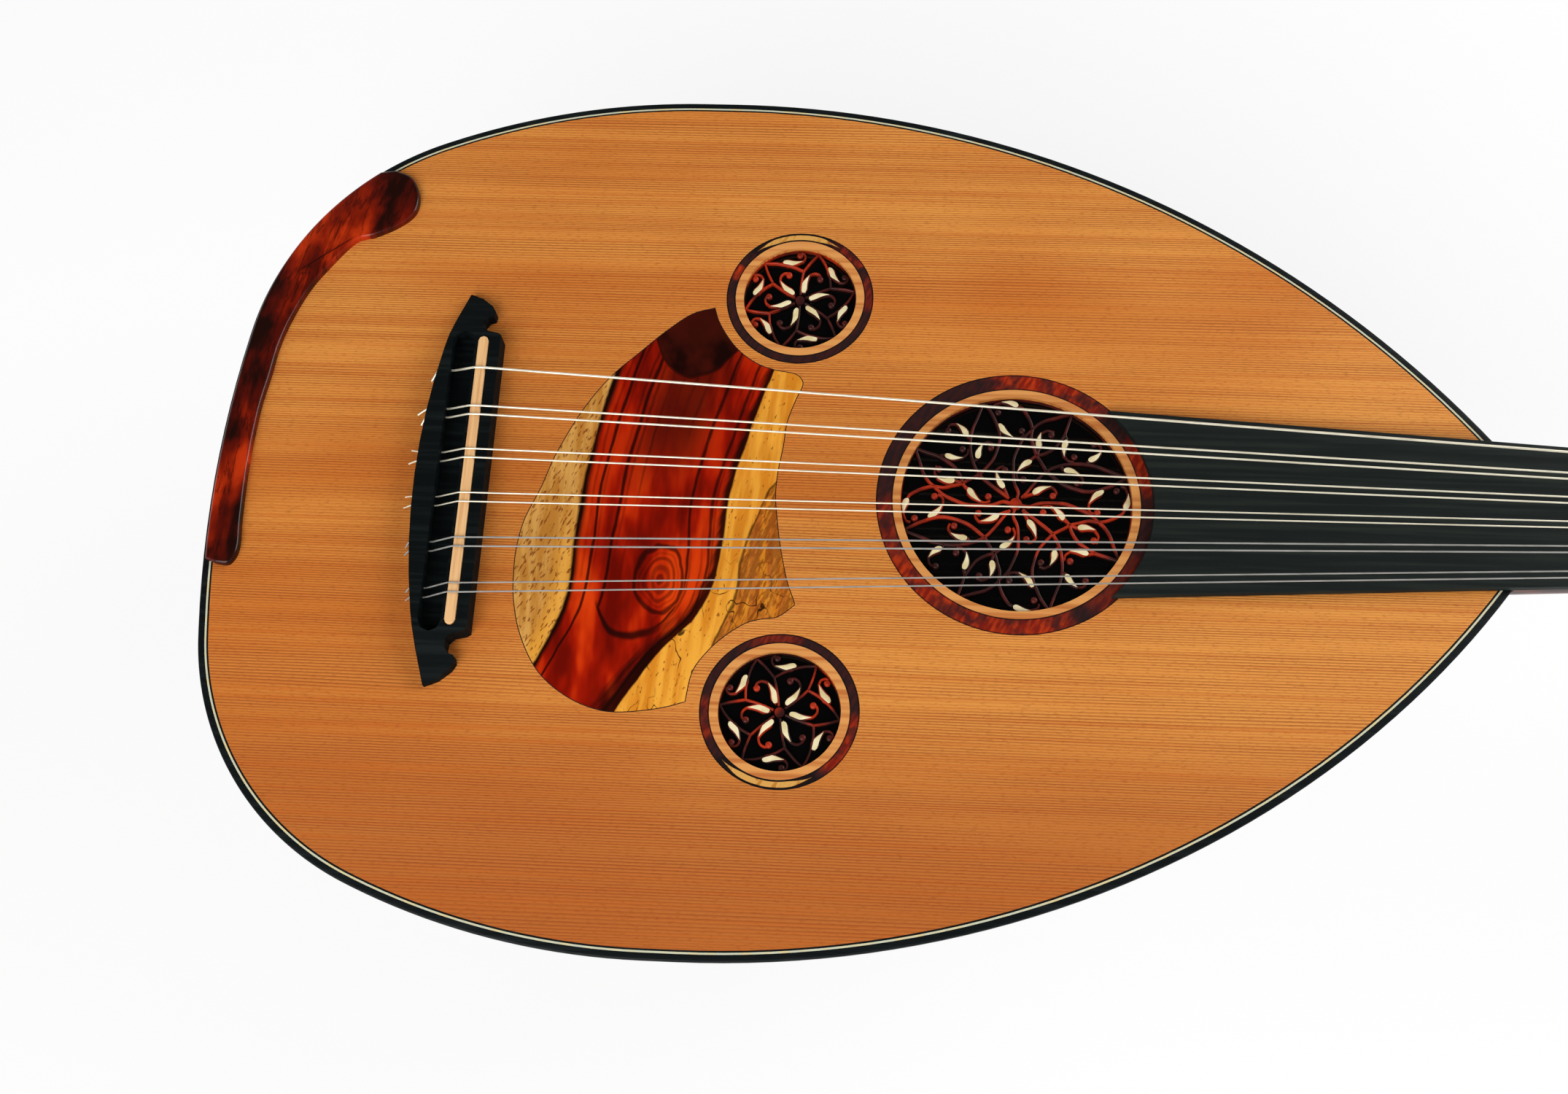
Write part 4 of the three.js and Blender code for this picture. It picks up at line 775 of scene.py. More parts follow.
def ring_finish(name, middle, inner, outer):
    """A sound hole's ring: maroon wood with red patches, black lines at both edges, and on the small
    rings a pale stretch between dark lines, all found from the distance and the angle round the hole."""
    wood = Finish(f"ring_{name}", 0.3, 0.15)
    x, y = wood.flat()
    x -= middle[0] + TAIL_X
    y -= middle[1]
    distance = squares(x, y).math("SQRT")
    grain = wood.noise((620, 150, 1), 3, turn=0.5)
    patch = wood.noise((150, 150, 1))
    near = []
    for degrees, reach, most in RING_PATCHES[name]:
        toward = (x * cos(radians(degrees)) + y * sin(radians(degrees))) / distance
        near.append(toward.ranged(cos(radians(1.25 * reach)), cos(radians(0.6 * reach)), most))
    redness = highest(*near) * patch.ranged(0.34, 0.58, 1.0, 0.2)
    red = wood.layers("ring_red", (grain.ranged(0.36, 0.7), "ring_orange"))
    colour = wood.layers("ring_dark", (grain.ranged(0.35, 0.7), "ring_brown"), (redness, red))
    share = (distance - inner) / (outer - inner)
    if name in PALE_TURNS:
        away = abs(y.math("ARCTAN2", x) - radians(PALE_TURNS[name]))
        half_width = away.ranged(0.66, 0.3, 0.29)
        inside = (abs(share + grain * 0.06 - 0.5) - half_width).ranged(0.02, -0.02)
        pale = wood.layers(
            "sapwood",
            (grain.ranged(0.5, 0.66), "sapwood_tan"),
            (patch.ranged(0.64, 0.72, 0.6), "ring_red"),
        )
        dark = away.ranged(0.74, 0.66) * 0.7
        colour = wood.layers(colour, (dark, "ebony"), (inside * away.ranged(0.66, 0.64), pale))
    line = 0.5 - RING_LINE / (outer - inner)
    rim = abs(share - 0.5).ranged(line - 0.03, line + 0.03, 0.85)
    return wood.finish(wood.layers(colour, (rim, "ebony")), grain, 0.00002, coat=0.04)


def heart_figure(wood, sizes, x, y, along, across, field):
    """The red heartwood: straight dark lines that bow out round the knot, the knot's own rings, the line
    that hangs under it and the maroon end above. Along and across are shares of the pickguard, and field
    is the share of the way from the heartwood's left edge to its right."""
    dx = (x - (TAIL_X + sizes.knot_place)) / sizes.knot_length
    dy = (y - sizes.knot_offset) / sizes.knot_width
    wobble = wood.noise((90, 60, 1))
    knot = squares(dx, dy).math("SQRT") + wobble.swung(0.7)
    pull = wood.math("POWER", 2.718, knot * knot * -0.35)
    bowed = (field - KNOT_FIELD).scaled(pull.scaled(-0.42, 1.0), KNOT_FIELD)
    bowed += wood.noise((60, 30, 1), 3, offset=(0.7, 0, 0)).swung(0.05)

    under = across - along.curved(UNDER_KNOT_SHARES) + wobble.swung(0.02)
    above = along.curved(MAROON_SHARES) - across + wobble.swung(0.024)
    strength = wood.noise((60, 9, 1), offset=(0.2, 0.1, 0))
    fine = (bowed * 13.0).math("PINGPONG", 0.5).ranged(0.2, 0.02) * strength.ranged(0.4, 0.62) * 0.55
    inner, outer = ([bowed.band(*line) for line in lines] for lines in (INNER_LINES, OUTER_LINES))
    lines = highest(highest(*inner, fine) * under.ranged(-0.01, 0.01), highest(*outer))
    lines = highest(
        lines * (knot.ranged(1.05, 1.15) * above.ranged(-0.004, 0.004)),
        under.band(0.0, 0.014, 0.9) * field.ranged(0.2, 0.26) * field.ranged(0.95, 0.7),
        highest(*[knot.band(*ring) for ring in KNOT_RINGS]),
        above.band(0.0, 0.008, 0.7),
    )

    tone = wood.noise((70, 22, 1), 3, offset=(0.5, 0.3, 0))
    cloud = wood.noise((60, 45, 1), 3, offset=(0.2, 0.4, 0))
    top = wood.layers(
        "heart_black",
        (cloud.ranged(0.42, 0.62), "heart_top"),
        (above.ranged(-0.05, -0.1, 0.75), "heart_top"),
    )
    return wood.layers(
        "heart_dark",
        (tone.ranged(0.33, 0.56), "heart_red"),
        (tone.ranged(0.46, 0.66) * across.ranged(0.62, 0.4, 0.9, 0.35), "heart_bright"),
        (field.band(0.5, 0.34, 0.85) * across.ranged(0.45, 0.66), "heart_brown"),
        (above.ranged(0.006, -0.006), top),
        (lines, "heart_black"),
    )


def pickguard_finish(sizes):
    """Cocobolo with its sapwood: a speckled pale left side, the red heartwood with black edges, and a
    golden right side with a spalted corner."""
    wood = Finish("pickguard", 0.3, 0.08)
    x, y = wood.flat()
    along = (x - (TAIL_X + sizes.pickguard_place)) / sizes.pickguard_length
    across = y.scaled(0.5 / sizes.pickguard_half_width, 0.5)
    left, right = across.curved(PALE_TO_RED_SHARES), across.curved(RED_TO_GOLD_SHARES)
    edge = wood.noise((200, 60, 1))
    bent = along + edge.swung(0.012)
    into, short = bent - left, right - bent
    heart = heart_figure(wood, sizes, x, y, along, across, into / (right - left))
    fibre = wood.noise((420, 40, 1), 3, turn=0.62)
    last = short / across.ranged(0.34, 0.1, 0.1, 0.034) + fibre.swung(1.1)
    heart = wood.layers(heart, (last.ranged(1.15, 0.35, 0.96), "heart_black"))

    streak = wood.noise((300, 40, 1), 3)
    speck = wood.noise((1050, 300, 1), turn=0.42)
    pale = wood.layers(
        "sapwood_tan",
        (streak.ranged(0.36, 0.66), "sapwood"),
        (across.ranged(0.5, 0.3) * into.ranged(-0.09, -0.02) * 0.6, "gold"),
        (speck.ranged(0.55, 0.65, 0.8), "sapwood_shade"),
    )
    hatch = wood.noise((560, 70, 1), turn=0.34)
    spalt = wood.layers(
        "spalt",
        (streak.ranged(0.4, 0.66), "gold_shade"),
        (hatch.ranged(0.48, 0.56, 0.7), "sapwood_shade"),
        (speck.ranged(0.47, 0.61, 0.8), "sapwood_shade"),
    )
    gold_streak = wood.noise((240, 26, 1), 3, turn=0.1)
    gold_speck = wood.noise((900, 340, 1), offset=(3, 1, 0), turn=0.3)
    beyond = along - across.curved(SPALT_SHARES) + edge.swung(0.03)
    veins = wood.noise((110, 80, 1), 2, 0.4)
    patchy = wood.noise((70, 70, 1), 1, offset=(0.3, 0.6, 0))
    vein = veins.band(0.5, 0.012) * across.ranged(0.36, 0.31) * patchy.ranged(0.48, 0.6, 0.9)
    gold = wood.layers(
        "gold_shade",
        (gold_streak.ranged(0.36, 0.62), "gold"),
        (gold_speck.ranged(0.63, 0.7, 0.75), "sapwood_shade"),
        (beyond.ranged(-0.004, 0.004, 0.85), spalt),
        (highest(vein, beyond.band(0.0, 0.007, 0.7)), "heart_black"),
    )
    colour = wood.layers(pale, (into.ranged(-0.008, 0.004), heart), (short.ranged(0.004, -0.004), gold))
    return wood.finish(colour, streak, 0.00001, coat=0.02)


def carving_finish(name, middle):
    """A rosette's wood: bright red inside its glows, each an ellipse, and maroon outside them."""
    wood = Finish(f"rosette_{name}", 0.36, 0.2)
    x, y = wood.flat()
    near = []
    for along, across, reach, breadth in GLOWS[name]:
        dx = (x - (TAIL_X + middle[0] + along)) / reach
        dy = (y - (middle[1] + across)) / breadth
        near.append(squares(dx, dy).ranged(1.3, 0.4))
    patch = wood.noise((110, 110, 1), offset=(0.4, 0.1, 0))
    grain = wood.noise((300, 1200, 300), 3)
    colour = wood.layers(
        "carving_dark",
        (patch.ranged(0.45, 0.65), "carving_brown"),
        (highest(*near) * patch.ranged(0.3, 0.55, 1.0, 0.45), "carving_red"),
        (grain.ranged(0.5, 0.75, 0.5), "carving_dark"),
    )
    return wood.finish(colour, grain, 0.00004)


def painted_shade_sheet_finish():
    """The near-black glossy sheet behind the rosettes: painted shade for the dark inside of the bowl, with
    its own gloss and flecks of dust.
    """
    sheet = Finish("smoked_sheet", 0.1, 0.2)
    dust = sheet.noise((900, 900, 900), 3)
    colour = sheet.layers("smoke", (dust.ranged(0.64, 0.85, 0.25), "ebony_light"))
    return sheet.finish(colour, roughness=dust.ranged(0.4, 0.8, 0.2, 0.08))


def wound_finish():
    """Silver-plated winding: bright metal with fine turns across the string."""
    metal = Finish("wound_silver", 0.3, 0.5)
    metal.shader.inputs["Metallic"].default_value = 0.45
    turns = metal.add("ShaderNodeTexWave", {"Vector": metal.mapped((1, 0, 0)), "Scale": 900.0}, "Fac")
    dull = metal.noise((60, 900, 900))
    return metal.finish(metal.layers("silver", (dull.ranged(0.45, 0.75), "silver_dull")), turns, 0.00001)


def nylon_finish():
    """Clear nylon: pale, glossy and a little see-through."""
    nylon = Finish("nylon", 0.2, 0.4)
    nylon.shader.inputs["Transmission Weight"].default_value = 0.3
    cloud = nylon.noise((90, 900, 900))
    return nylon.finish(nylon.layers("nylon", (cloud.ranged(0.4, 0.7), "nylon_shade")))


FINISHES = {}


def make_finishes(body, face):
    """Makes each finish once and keeps it by name."""
    FINISHES.update({
        "cedar": cedar_finish(),
        "ebony": black_wood_finish("ebony", "ebony", "ebony_light", 0.42),
        "bridge": black_wood_finish("bridge_wood", "ebony", "ebony_light", 0.55, 0.03),
        "fingerboard": black_wood_finish("fingerboard", "board", "board_light", 0.55),
        "rib_red": figured_finish("rib_red", "rib_dark", "rib_brown", "rib_red", (9, 60, 60)),
        "rib_dark": figured_finish("rib_dark", "ebony", "rib_dark", "rib_brown", (9, 60, 60)),
        "armrest": armrest_finish(body),
        "mahogany": figured_finish("mahogany", "rib_dark", "neck_brown", "neck_brown", (7, 70, 70)),
        "spruce": plain_wood_finish("spruce", "spruce", "spruce_shade", (8, 500, 500)),
        "saddle": plain_wood_finish("saddle_wood", "saddle", "saddle_shade", (900, 30, 900)),
        "lip": plain_wood_finish("cedar_lip", "lip", "lip_shade", (4, 420, 1)),
        "bone": bone_finish(),
        "edge_line": edge_line_finish(),
        "pickguard": pickguard_finish(face),
        # The strip round the pickguard: painted shade of the gap at its edge
        "glue": plain_wood_finish("glue_line", "heart_black", "rib_dark", (300, 300, 300)),
        # The sheet behind the rosettes: painted shade for the bowl's dark inside
        "smoked": painted_shade_sheet_finish(),
        "wound": wound_finish(),
        "nylon": nylon_finish(),
    })
    for name, middle, _, inner, outer in holes(face):
        FINISHES[f"ring_{name}"] = ring_finish(name, middle, inner, outer)
        FINISHES[f"rosette_{name}"] = carving_finish(name, middle)


def finish(name):
    """The finish of a name, with all of them made at the first call."""
    if not FINISHES:
        make_finishes(bpy.context.scene.oud_body, bpy.context.scene.oud_face)
    return FINISHES[name]


# Sizes and colours

# Kinds of property: what makes it, what turns a row's values into its default, and its other settings
LENGTH = (FloatProperty, float, {"unit": "LENGTH", "precision": 4})
TURN = (FloatProperty, radians, {"subtype": "ANGLE"})
SHARE = (FloatProperty, float, {"subtype": "FACTOR", "min": 0.0})
POWER = (FloatProperty, float, {"unit": "POWER"})
PLAIN = (FloatProperty, float, {})
COUNT = (IntProperty, int, {"min": 1})
PLACE = (FloatVectorProperty, lambda *place: place, {"unit": "LENGTH"})
TURNS = (FloatVectorProperty, lambda *turns: [radians(one) for one in turns], {"subtype": "EULER"})
COLOUR = (FloatVectorProperty, linear, {"subtype": "COLOR", "min": 0.0, "max": 1.0})


def settings(kind, rows):
    """Properties of one kind by their keys: each is named after its key, and its row holds the description
    and the values of the default."""
    make, convert, others = kind
    made = {}
    for key, (text, *values) in rows.items():
        name = key.replace("_", " ").capitalize()
        made[key] = make(name=name, description=text, default=convert(*values), **others)
    return made


class OudBodySizes(bpy.types.PropertyGroup):
    """Sizes of the bowl, the edge and the neck"""

    __annotations__ = settings(LENGTH, {
        "tail_radius": ("Radius of the outline across the tail", 0.463),
        "shoulder_radius": ("Radius of the outline's tight corner", 0.113),
        "flank_radius": ("Radius of the outline up to its widest place", 0.271),
        "rest_flat": ("Length of the straight at the widest place", 0.012),
        "neck_side_radius": ("Radius of the outline towards the neck", 0.3756),
        "joint_half_width": ("Half width where the neck joins", 0.029),
        "bowl_depth": ("Depth of the bowl under the soundboard", 0.178),
        "rib_thickness": ("Thickness of the bowl's ribs", 0.0036),
        "rib_tail_radius": ("Radius at which the ribs end at the tail", 0.016),
        "fillet_width": ("Width of the pale lines between the ribs", 0.0009),
        "soundboard_thickness": ("Thickness of the soundboard", 0.002),
        "binding_width": ("Width of the dark binding", 0.0026),
        "line_width": ("Width of each line inside the binding", 0.0007),
        "nut_half_width": ("Half width of the nut", 0.0176),
        "neck_nut_depth": ("Depth of the neck at the nut", 0.021),
    }) | settings(TURN, {
        "tail_turn": ("Heading where the tail's arc ends", 8),
        "shoulder_turn": ("Heading where the corner's arc ends", 66.7),
    })


class OudFaceSizes(bpy.types.PropertyGroup):
    """Sizes of what lies on and in the soundboard"""

    __annotations__ = settings(LENGTH, {
        "main_hole_place": ("Distance of the main hole's middle from the tail", 0.3076),
        "main_hole_radius": ("Radius of the main sound hole", 0.0435),
        "small_hole_place": ("Distance of the small holes' middles from the tail", 0.2223),
        "small_hole_offset": ("Distance of the small holes from the middle", 0.0844),
        "small_hole_radius": ("Radius of the small sound holes", 0.0223),
        "main_ring_inner": ("Inner radius of the main ring", 0.0465),
        "main_ring_outer": ("Outer radius of the main ring", 0.0528),
        "small_ring_inner": ("Inner radius of the small rings", 0.0255),
        "small_ring_outer": ("Outer radius of the small rings", 0.0291),
        "ring_thickness": ("Thickness of the rings", 0.0012),
        "carving_thickness": ("Thickness of the carved rosettes", 0.0016),
        "strand_width": ("Width of the rosettes' strands", 0.00095),
        "leaf_width": ("Width of the main rosette's leaves", 0.0022),
        "leaf_margin": ("Width of the carved wood round a leaf", 0.0004),
        "ball_radius": ("Radius of the balls that end the curls", 0.00125),
        "pickguard_place": ("Distance of the pickguard from the tail", 0.12),
        "pickguard_length": ("Length of the pickguard", 0.106),
        "pickguard_half_width": ("Half width of the pickguard", 0.087),
        # The dark line round the pickguard is painted shade of the gap at its edge
        "pickguard_line": ("Width of the dark line round the pickguard", 0.00035),
        "knot_place": ("Distance of the pickguard's knot from the tail", 0.175),
        "knot_offset": ("Distance of the pickguard's knot from the middle", -0.0355),
        "knot_length": ("Reach of the knot along the oud", 0.0088),
        "knot_width": ("Reach of the knot across the oud", 0.0127),
        "armrest_reach": ("How far the armrest's head lies from the tail", 0.065),
        "armrest_span": ("How far the armrest's head lies from the middle", 0.138),
        "armrest_foot": ("How far the armrest's foot lies from the middle", 0.031),
        "armrest_thickness": ("Thickness of the armrest", 0.003),
        "armrest_rounding": ("Radius of the armrest's upper edge", 0.0012),
        "armrest_inset": ("How far the armrest's outer side lies in from the edge", 0.0016),
        "board_lap": ("How far the fingerboard laps over the main ring", 0.0018),
    }) | settings(TURN, {
        "bass_rosette_turn": ("How far the mirrored bass rosette is turned", 7),
        "armrest_turn": ("Heading of the edge where the armrest's head ends", 52),
    })


class OudHeadSizes(bpy.types.PropertyGroup):
    """Sizes of the pegbox, the pegs and the strings"""

    __annotations__ = settings(TURN, {
        "bend": ("How far the pegbox is bent back from the neck", 48),
    }) | settings(LENGTH, {
        "drop": ("How far the pegbox's rim lies below the fingerboard's foot", 0.004),
        "wall_end": ("Length of the pegbox's walls", 0.2056),
        "root_depth": ("Depth of the walls at the neck", 0.024),
        "end_depth": ("Depth of the walls at the head", 0.014),
        "end_half_width": ("Half width at the walls' end", 0.01),
        "first_peg": ("Distance of the first peg from the neck", 0.03),
        "peg_spacing": ("Distance from peg to peg", 0.0158),
        "peg_radius": ("Radius of a peg at its collar", 0.0042),
        "collar_radius": ("Radius of a peg's collar", 0.0058),
        "collar_length": ("Length of a peg's collar", 0.004),
        "stem_radius": ("Radius between the collar and the thumb piece", 0.0034),
        "thumb_length": ("Length of a peg's thumb piece", 0.02),
        "thumb_radius": ("Half width of a peg's thumb piece", 0.0095),
        "tip_proud": ("How far a peg's tip stands out of its wall", 0.002),
        "clearance": ("Gap between a string and what it passes", 0.0003),
        "saddle_place": ("Distance of the saddle's rear edge from the tail", 0.0985),
        "channel_place": ("Distance of the tie channel's rear wall from the tail", 0.0885),
        "bridge_place": ("Distance of the bridge's rear edge from the tail", 0.0803),
        "bridge_setback": ("How far the bridge's rear edge curves forward", 0.0115),
        "bridge_half_width": ("Half width of the bridge", 0.0805),
        "hole_height": ("Height of the string holes in the bridge", 0.005),
        "course_saddle": ("Distance between courses at the saddle", 0.01795),
        "course_nut": ("Distance between courses at the nut", 0.0061),
        "pair_saddle": ("Distance within a pair at the saddle", 0.0036),
        "pair_nut": ("Distance within a pair at the nut", 0.002),
        "bass_string_radius": ("Radius of the single bass string", 0.00048),
        "winding_gap": ("Gap between the turns", 0.00008),
    }) | settings(SHARE, {
        "peg_depth_share": ("Place of the pegs in the walls' depth", 0.57),
        "peg_taper": ("How much the radius falls over a length", 1 / 60),
        "thumb_flat": ("Thickness of the thumb piece over its width", 0.4),
        "tie_share": ("Spread of the ties over the spread at the saddle", 1.02),
    }) | settings(COUNT, {
        "winding_turns": ("Turns of a string round its peg", 4),
    })


class OudColours(bpy.types.PropertyGroup):
    """Colours of the woods, bone and strings"""

    __annotations__ = settings(COLOUR, {
        "cedar_light": ("Cedar's lighter bands", 213, 137, 61),
        "cedar_dark": ("Cedar's darker bands", 197, 113, 45),
        "cedar_gold": ("Cedar's golden clouds", 222, 152, 73),
        "cedar_flank": ("Cedar on the treble flank", 168, 89, 36),
        "cedar_red": ("Cedar's reddish streaks", 186, 92, 32),
        "cedar_line": ("Cedar's growth lines", 130, 58, 16),
        "lip": ("The pale cedar between the holes and their rings", 210, 144, 77),
        "lip_shade": ("Its growth lines", 178, 102, 44),
        "ebony": ("Ebony", 10, 14, 15),
        "ebony_light": ("Ebony's lighter grain", 22, 27, 27),
        "board": ("The fingerboard's black wood", 20, 26, 25),
        "board_light": ("The fingerboard's lighter grain", 34, 40, 36),
        "rib_dark": ("The ribs' darkest figure", 30, 13, 11),
        "rib_brown": ("The ribs' middle tone", 66, 28, 18),
        "rib_red": ("The ribs' red tone", 108, 40, 20),
        "armrest_black": ("The armrest's darkest figure", 28, 8, 5),
        "armrest_dark": ("The armrest's dark red", 76, 14, 6),
        "armrest_red": ("The armrest's red", 124, 26, 6),
        "armrest_bright": ("The armrest's brightest red", 176, 48, 12),
        "neck_brown": ("The neck's wood", 92, 44, 26),
        "spruce": ("The inner braces and blocks", 222, 190, 138),
        "spruce_shade": ("Their growth lines", 190, 150, 96),
        "saddle": ("The saddle strip", 224, 178, 124),
        "saddle_shade": ("The saddle strip's grain", 204, 150, 98),
        "bone": ("Bone", 230, 218, 176),
        "bone_shade": ("Bone's darker clouds", 208, 190, 138),
        "line_pale": ("The pale line round the edge", 190, 192, 168),
        "ring_dark": ("The rings' dark wood", 38, 24, 25),
        "ring_brown": ("The rings' brown wood", 58, 27, 24),
        "ring_red": ("The rings' red patches", 118, 26, 14),
        "ring_orange": ("The rings' brightest patches", 176, 54, 18),
        "sapwood": ("Pale sapwood", 204, 152, 78),
        "sapwood_tan": ("Sapwood's tan streaks", 178, 118, 46),
        "sapwood_shade": ("Sapwood's dark specks", 112, 48, 14),
        "gold": ("Golden sapwood", 228, 160, 56),
        "gold_shade": ("Golden sapwood's streaks", 204, 126, 32),
        "spalt": ("The spalted corner", 168, 86, 30),
        "heart_red": ("The pickguard's red", 160, 23, 3),
        "heart_bright": ("The pickguard's brightest red", 212, 62, 10),
        "heart_dark": ("The pickguard's dark red", 98, 9, 2),
        "heart_brown": ("The brown between the lines", 68, 12, 4),
        "heart_top": ("The maroon end of the pickguard", 58, 13, 6),
        "heart_black": ("The dark lines along the heartwood", 22, 5, 3),
        "carving_red": ("The rosettes' red wood", 166, 44, 16),
        "carving_brown": ("The rosettes' maroon wood", 84, 27, 21),
        "carving_dark": ("The rosettes' dark wood", 48, 19, 17),
        # Painted shade: the near-black of the bowl's inside, seen behind the rosettes
        "smoke": ("The sheet behind the rosettes", 4, 4, 4),
        "silver": ("Silver-plated winding", 238, 231, 208),
        "silver_dull": ("Worn winding", 208, 200, 176),
        "nylon": ("Clear nylon", 172, 170, 164),
        "nylon_shade": ("Nylon's duller stretches", 150, 148, 142),
    })


class OudStageSettings(bpy.types.PropertyGroup):
    """The camera, the lamps and the floor"""

    __annotations__ = settings(PLACE, {
        "camera_place": ("Where the camera stands, from the tail", 0.2528, -0.24297, 0.59442),
    }) | settings(TURNS, {
        "camera_turn": ("How the camera is turned", 20.553, 2.041, 2.731),
    }) | settings(PLAIN, {
        "camera_lens": ("Focal length in millimetres", 38.94),
        "low_sky": ("Strength of the soft light near the floor", 1.0),
        "high_sky": ("Strength of the soft light overhead", 0.05),
    }) | settings(POWER, {
        "key_power": ("Power of the main lamp", 38.0),
        "fill_power": ("Power of the fill lamp", 24.0),
    }) | settings(COLOUR, {
        "floor_white": ("The floor's colour", 246, 246, 246),
    }) | settings(SHARE, {
        "shadow_share": ("How much of the floor's shading the camera sees near the oud", 0.2),
    })


# The body's shape


def edge_headings(sizes, start):
    """Headings from start to the neck joint at even steps, with both ends of the widest straight."""
    joint = joint_heading(sizes)
    first = max(2, round(np.degrees(QUARTER - start) * STEPS_PER_DEGREE))
    second = round(np.degrees(joint - QUARTER) * STEPS_PER_DEGREE)
    return np.r_[np.linspace(start, QUARTER, first), np.linspace(QUARTER + 1e-6, joint, second)]


def edge_line(sizes, headings, inset=0.0):
    """The body's edge: each arc adds its radius times the change of the heading's cosine along the oud and
    of its sine across it, and the whole moves in by inset along the edge's normal."""
    headings = np.asarray(headings, float)
    arcs = (
        (sizes.tail_radius, 0.0, sizes.tail_turn),
        (sizes.shoulder_radius, sizes.tail_turn, sizes.shoulder_turn),
        (sizes.flank_radius, sizes.shoulder_turn, QUARTER),
        (sizes.neck_side_radius, QUARTER, pi),
    )
    along = np.where(headings > QUARTER, sizes.rest_flat, 0.0)
    across = np.zeros_like(headings)
    for radius, start, end in arcs:
        reached = np.clip(headings, start, end)
        along += radius * (cos(start) - np.cos(reached))
        across += radius * (np.sin(reached) - sin(start))
    return np.c_[along + inset * np.cos(headings), across - inset * np.sin(headings)]


def widest(sizes):
    """The body's half width at its widest place."""
    return edge_line(sizes, [QUARTER])[0, 1]


def joint_heading(sizes):
    """The heading at which the neck-side arc has come in to the joint's half width."""
    return pi - asin(1 - (widest(sizes) - sizes.joint_half_width) / sizes.neck_side_radius)


def body_loop(sizes, inset):
    """The whole outline as one loop, taken in by inset, with a straight end at the joint."""
    side = edge_line(sizes, edge_headings(sizes, 0.0), inset)
    side[:, 0] = np.minimum(side[:, 0], JOINT_PLACE)
    side = np.r_[side, [[JOINT_PLACE, side[-1, 1]]]]
    return np.concatenate([side[:0:-1] * [1, -1], side])


def edge_band(sizes, near, far, low, rounding=0.0):
    """A strip round the edge between two insets: its section is a rectangle with its outer upper corner
    rounded, carried along the whole outline."""
    headings = edge_headings(sizes, 0.0)
    lift = np.linspace(0, QUARTER, 5)
    inset = np.r_[near, near + rounding * (1 - np.cos(lift)), far, far]
    height = np.r_[low, rounding * (np.sin(lift) - 1), 0.0, low]
    halves = np.stack([edge_line(sizes, headings, value) for value in inset], 1)
    rows = np.concatenate([halves, np.broadcast_to(height, halves.shape[:2])[:, :, None]], -1)
    return loft(np.concatenate([rows[:0:-1] * [1, -1, 1], rows]))


def rib_turn():
    """The angle that one rib takes up in the bowl's half turn."""
    return pi / len(RIBS)


def rib_start(sizes):
    """The heading at which the ribs begin at the tail."""
    return asin(sizes.rib_tail_radius / sizes.tail_radius)


def depth_ratio(sizes):
    """How much deeper than wide the bowl is, so that its lowest facet lies at the bowl's depth."""
    return sizes.bowl_depth / (widest(sizes) * cos(rib_turn() / 2))


def meridian(sizes, index, widths):
    """The bowl's corner number index at each half width: across is the cosine and down the sine."""
    angle = index * rib_turn()
    return np.c_[widths * cos(angle), -depth_ratio(sizes) * widths * sin(angle)]


def rib_shell(sizes, index):
    """One rib: at each station a flat facet between two corners of the bowl, taken in by half a fillet at
    each seam, and the same facet inside, a thickness further in."""
    headings = edge_headings(sizes, rib_start(sizes))
    loops = []
    for inset in (0.0, sizes.rib_thickness):
        line = edge_line(sizes, headings, inset)
        one, two = meridian(sizes, index, line[:, 1]), meridian(sizes, index + 1, line[:, 1])
        seam = unit(two - one) * sizes.fillet_width / 2
        top = -sizes.soundboard_thickness
        start, end = one + seam, two - seam
        if index == 0:
            start = one + (two - one) * (top / two[:, 1])[:, None]
        if index == len(RIBS) - 1:
            end = two + (one - two) * (top / one[:, 1])[:, None]
        loops += [np.c_[line[:, 0], start], np.c_[line[:, 0], end]]
    return loft(np.stack([loops[0], loops[1], loops[3], loops[2]], 1))


def fillet_shell(sizes, index):
    """One pale line over a seam: a thin wedge whose outer face follows the bowl's corner."""
    line = edge_line(sizes, edge_headings(sizes, rib_start(sizes)))
    before, corner, after = (meridian(sizes, index + step, line[:, 1]) for step in (-1, 0, 1))
    reach = sizes.fillet_width / 2
    one = corner + unit(before - corner) * reach
    two = corner + unit(after - corner) * reach
    inward = unit(unit(before - corner) + unit(after - corner)) * sizes.rib_thickness / 2
    corners = (one, corner, two, two + inward, one + inward)
    return loft(np.stack([np.c_[line[:, 0], part] for part in corners], 1))


def end_plug(sizes):
    """The plug between the ribs' ends, seen above the clasp: the bowl's section there, cut off level under
    the soundboard and carried along the oud by the ribs' thickness."""
    width = np.array([sizes.rib_tail_radius - PLUG_GAP])
    section = np.concatenate([meridian(sizes, index, width) for index in range(len(RIBS) + 1)])
    top = -sizes.soundboard_thickness - PLUG_GAP / 2
    section[0] += (section[1] - section[0]) * top / section[1, 1]
    section[-1] += (section[-2] - section[-1]) * top / section[-2, 1]
    near = edge_line(sizes, [rib_start(sizes)])[0, 0]
    far = near + sizes.rib_thickness
    return loft(np.stack([np.c_[np.full(len(section), x), section] for x in (near, far)]))


class OUD_OT_bowl(bpy.types.Operator):
    """Make the bowl's ribs, the pale fillets between them, the end clasp and the inner blocks"""

    bl_idname = "oud.bowl"
    bl_label = "Bowl"

    def execute(self, context):
        sizes = context.scene.oud_body
        for index, node in enumerate(RIBS):
            wood = "rib_dark" if index % 2 else "rib_red"
            piece(f"bowl_{node}", rib_shell(sizes, index), wood, (node,))
        seams = joined([fillet_shell(sizes, index) for index in range(1, len(RIBS))])
        piece("rib_fillets", seams, "bone")
        piece("end_plug", end_plug(sizes), "ebony")
        eased("tail_clasp", "end_clasp", "ebony", edge=0.0004)
        for node in ("tail_block", "neck_block", "brace_lower", "brace_middle", "brace_upper"):
            dress(node, "spruce")
        return {"FINISHED"}


